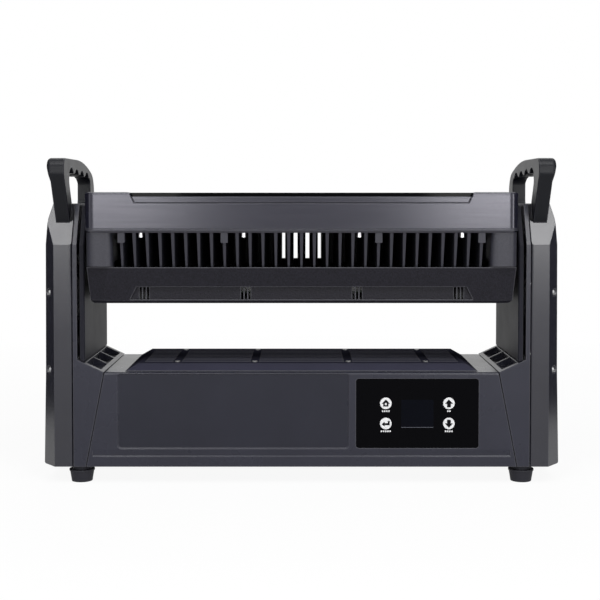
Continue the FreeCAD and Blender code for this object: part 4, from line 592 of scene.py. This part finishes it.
def make_field_plate(finish):
    """Smooth plate that fills the sunk field on the front."""
    low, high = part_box("base_cover")
    x0 = low.x + FIELD_FROM_LEFT + FIELD_PLATE_IN
    x1 = low.x + FIELD_FROM_LEFT + FIELD_SIZE[0] - FIELD_PLATE_IN
    z1 = high.z - FIELD_FROM_TOP - FIELD_PLATE_IN
    z0 = high.z - FIELD_FROM_TOP - FIELD_SIZE[1] + FIELD_PLATE_IN
    floor = low.y + FIELD_SINK
    outline = rounded_rectangle((x0, z0), (x1, z1), FIELD_CORNER)
    shape = prism(outline, floor - FIELD_PLATE, floor + PRINT_SINK, facing_front)
    add_piece("field_plate", *shape, finish, "moulded_black", "base")


def make_seals(rubber):
    """Strips that close the seams beside the base's front to light."""
    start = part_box("base_cover")[0].y + SEAL_BEHIND
    ends = (SEAL_TOP, SEAL_FOOT)
    for side, way in (("left", -1), ("right", 1)):
        outline = [(way * (x - SEAL_HALF), z) for x, z in ends]
        outline += [(way * (x + SEAL_HALF), z) for x, z in reversed(ends)]
        shape = prism(outline, start, start + SEAL_THICK, facing_front)
        add_piece(f"seam_seal_{side}", *shape, rubber, "rubber", "base")


# Front pane of the head

def make_pane(glass, black):
    """Clear pane with a black printed border, in place of the plain pane."""
    low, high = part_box("front_lens")
    b = PANE_BORDER
    outer = rounded_rectangle((low.x, low.y), (high.x, high.y), PANE_CORNER)
    inner = rounded_rectangle((low.x + b, low.y + b), (high.x - b, high.y - b), PANE_CORNER)
    frame_shape = ring(outer, inner, low.z, high.z, facing_up)
    border = add_piece("lens_border", *frame_shape, black, "panel_glass", "head")
    pane = add_piece("lens_pane", *prism(inner, low.z, high.z, facing_up), glass, "lens", "head")
    for piece in (border, pane):
        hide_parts("front_lens")


# Screws and sockets

def make_screw_drive_shade(ink):
    """Painted shade of the hexagon drives: dark hexagons on the heads of the vent cover's and the arms'
    screws, in place of sunk drives.
    """
    shapes = []
    for low, high in loose_boxes("vent_screws"):
        middle = (low + high) / 2
        outline = regular(middle.x, middle.y, DRIVE_SHARE * (high.x - low.x) / 2, DRIVE_SIDES)
        shapes.append(prism(outline, high.z - DRIVE_SINK, high.z + PRINT_RAISE, facing_up))
    add_piece("vent_screw_drive_shade", *gathered(shapes), ink, "panel_glass", "base")
    shapes = []
    for low, high in loose_boxes("yoke_screws"):
        middle = (low + high) / 2
        outline = regular(middle.y, middle.z, DRIVE_SHARE * (high.z - low.z) / 2, DRIVE_SIDES)
        if middle.x > 0:
            levels = (high.x - DRIVE_SINK, high.x + PRINT_RAISE)
        else:
            levels = (low.x - PRINT_RAISE, low.x + DRIVE_SINK)
        shapes.append(prism(outline, *levels, facing_side))
    add_piece("yoke_screw_drive_shade", *gathered(shapes), ink, "panel_glass", "base")


def socket_mouth(node):
    """Middle of a socket's mouth at the back."""
    low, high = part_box(node)
    return (low.x + high.x) / 2, high.y, (low.z + high.z) / 2


def make_socket_screws(steel):
    """Two small screws in each socket's plate."""
    shapes = []
    for node in SOCKETS:
        x, y, z = socket_mouth(node)
        for way in (-1, 1):
            u = x + way * SOCKET_SCREW_PLACE[0]
            v = z - way * SOCKET_SCREW_PLACE[1]
            outline = regular(u, v, SOCKET_SCREW_RADIUS, SOCKET_SCREW_SIDES)
            shapes.append(prism(outline, y - DRIVE_SINK, y + SOCKET_SCREW_HEIGHT, facing_front))
    add_piece("socket_screws", *gathered(shapes), steel, "screw_steel", "base")


def notched_circle(u, v):
    """Outline of a power socket's core."""
    points = []
    for angle in range(0, FULL_TURN, CORE_STEP):
        notched = any(abs(angle - notch) < CORE_NOTCH_ANGLE for notch in CORE_NOTCHES)
        radius = CORE_NOTCH if notched else CORE_RADIUS
        turn = math.radians(angle)
        points.append((u + radius * math.cos(turn), v + radius * math.sin(turn)))
    return points


def make_socket_cores(finishes):
    for node, slot in CORE_SLOTS.items():
        x, y, z = socket_mouth(node)
        shape = prism(notched_circle(x, z), y - CORE_FLOOR, y - CORE_SINK, facing_front)
        add_piece(f"{node}_core", *shape, finishes[slot], slot, "base")


def make_data_pins(brass):
    x, y, z = socket_mouth("data_input")
    pins = [regular(x + u, z + v, PIN_RADIUS, PIN_SIDES) for u, v in PIN_PLACES]
    shapes = [prism(pin, y - PIN_FLOOR, y - PIN_SINK, facing_front) for pin in pins]
    add_piece("data_input_pins", *gathered(shapes), brass, "bush", "base")


def make_fuse_slot_shade(ink):
    """Painted shade of the screwdriver slot in the fuse holder's cap: a dark rounded bar in place of a sunk
    slot.
    """
    x, y, z = socket_mouth("fuse_holder")
    low = (x - FUSE_SLOT[0] / 2, z - FUSE_SLOT[1] / 2)
    high = (x + FUSE_SLOT[0] / 2, z + FUSE_SLOT[1] / 2)
    outline = rounded_rectangle(low, high, FUSE_SLOT[1] / 2)
    shape = prism(outline, y - DRIVE_SINK, y + PRINT_RAISE, facing_front)
    add_piece("fuse_slot_shade", *shape, ink, "panel_glass", "base")


def make_details(finishes):
    # The keys' ink also paints the shade in the screw drives and in the fuse slot
    ink = finishes["key_ink"]
    make_icons(ink)
    make_labels(finishes["key_white"])
    make_display(finishes["display"], finishes["display_line"])
    make_field_plate(finishes["field_plate"])
    make_seals(finishes["rubber"])
    make_pane(finishes["lens"], finishes["panel_glass"])
    make_screw_drive_shade(ink)
    make_socket_screws(finishes["screw_dull"])
    make_socket_cores(finishes)
    make_data_pins(finishes["bush"])
    make_fuse_slot_shade(ink)


# Studio

def make_floor():
    reach = FLOOR_REACH
    corners = [(-reach, -reach), (reach, -reach), (reach, reach), (-reach, reach)]
    add_plane("floor", [(x, y, -FLOOR_DROP) for x, y in corners], floor_material())


def make_cards(dark):
    """Dark cards that the arms' outer edges reflect; only reflections see them."""
    x, y = CARD_PLACE
    along, up = CARD_SIZE
    corners = [(y - along / 2, 0.0), (y + along / 2, 0.0), (y + along / 2, up), (y - along / 2, up)]
    for side, way in (("left", -1), ("right", 1)):
        card = add_plane(f"dark_card_{side}", [(way * x, v, z) for v, z in corners], dark)
        card.visible_camera = False
        card.visible_diffuse = False
        card.visible_shadow = False


def math_node(tree, operation, first, second):
    node = tree.nodes.new("ShaderNodeMath")
    node.operation = operation
    tree.links.new(first, node.inputs[0])
    tree.links.new(second, node.inputs[1])
    return node.outputs[0]


def seen_directly(tree):
    """1 for the rays that should see the white background: camera, glossy and transmission rays."""
    path = tree.nodes.new("ShaderNodeLightPath")
    total = path.outputs["Is Camera Ray"]
    for name in ("Is Glossy Ray", "Is Transmission Ray"):
        total = math_node(tree, "MAXIMUM", total, path.outputs[name])
    return total


def floor_glow(tree):
    """Share of the paper that glows: less near the object, where the shadow stays, and all of it far off."""
    place = tree.nodes.new("ShaderNodeTexCoord")
    distance = tree.nodes.new("ShaderNodeVectorMath")
    distance.operation = "LENGTH"
    share = tree.nodes.new("ShaderNodeMapRange")
    share.inputs["From Min"].default_value = FLOOR_NEAR
    share.inputs["From Max"].default_value = FLOOR_FAR
    share.inputs["To Min"].default_value = FLOOR_GLOW_NEAR
    share.inputs["To Max"].default_value = 1.0
    tree.links.new(place.outputs["Object"], distance.inputs[0])
    tree.links.new(distance.outputs["Value"], share.inputs["Value"])
    return math_node(tree, "MULTIPLY", share.outputs["Result"], seen_directly(tree))


def floor_material():
    """White paper that reads white to the rays that see it and still holds a shadow."""
    material = bpy.data.materials.new("floor_paper")
    material.use_nodes = True
    tree = material.node_tree
    tree.nodes.remove(tree.nodes["Principled BSDF"])
    paper = tree.nodes.new("ShaderNodeBsdfDiffuse")
    paper.inputs["Color"].default_value = (*FLOOR_COLOUR, 1.0)
    glow = tree.nodes.new("ShaderNodeEmission")
    mix = tree.nodes.new("ShaderNodeMixShader")
    tree.links.new(floor_glow(tree), mix.inputs["Fac"])
    tree.links.new(paper.outputs[0], mix.inputs[1])
    tree.links.new(glow.outputs[0], mix.inputs[2])
    tree.links.new(mix.outputs[0], tree.nodes["Material Output"].inputs["Surface"])
    return material


def make_world():
    """White to the rays that see it, and to the rest a dim room, so that the lamps do the lighting."""
    world = bpy.data.worlds.new("studio")
    bpy.context.scene.world = world
    world.use_nodes = True
    tree = world.node_tree
    backdrop = tree.nodes["Background"]
    backdrop.inputs["Color"].default_value = (1.0, 1.0, 1.0, 1.0)
    level = tree.nodes.new("ShaderNodeMapRange")
    level.inputs["To Min"].default_value = ROOM_LEVEL
    level.inputs["To Max"].default_value = 1.0
    tree.links.new(seen_directly(tree), level.inputs["Value"])
    tree.links.new(level.outputs["Result"], backdrop.inputs["Strength"])


def make_light(name, place, size, watts):
    """Rectangular lamp aimed at the object."""
    light = bpy.data.lights.new(name, "AREA")
    light.shape = "RECTANGLE"
    light.size, light.size_y = size
    light.energy = watts
    lamp = bpy.data.objects.new(name, light)
    lamp.location = place
    lamp.rotation_euler = (Vector(LIGHT_AIM) - Vector(place)).to_track_quat("-Z", "Y").to_euler()
    lamp.visible_camera = False
    bpy.context.collection.objects.link(lamp)


def make_lights():
    for name, light in LIGHTS.items():
        make_light(name, **light)


def make_camera():
    camera = bpy.data.cameras.new("camera")
    camera.lens = CAMERA_LENS
    camera.shift_x, camera.shift_y = CAMERA_SHIFT
    viewer = bpy.data.objects.new("camera", camera)
    viewer.location = (0.0, -CAMERA_DISTANCE, CAMERA_HEIGHT)
    viewer.rotation_euler = (math.radians(QUARTER_TURN - CAMERA_TILT), 0.0, 0.0)
    bpy.context.collection.objects.link(viewer)
    bpy.context.scene.camera = viewer


finishes = make_finishes()
dress_nodes(finishes)
make_details(finishes)
make_floor()
make_cards(finishes["dark_card"])
make_world()
make_lights()
make_camera()
bpy.context.scene.view_settings.view_transform = "Standard"
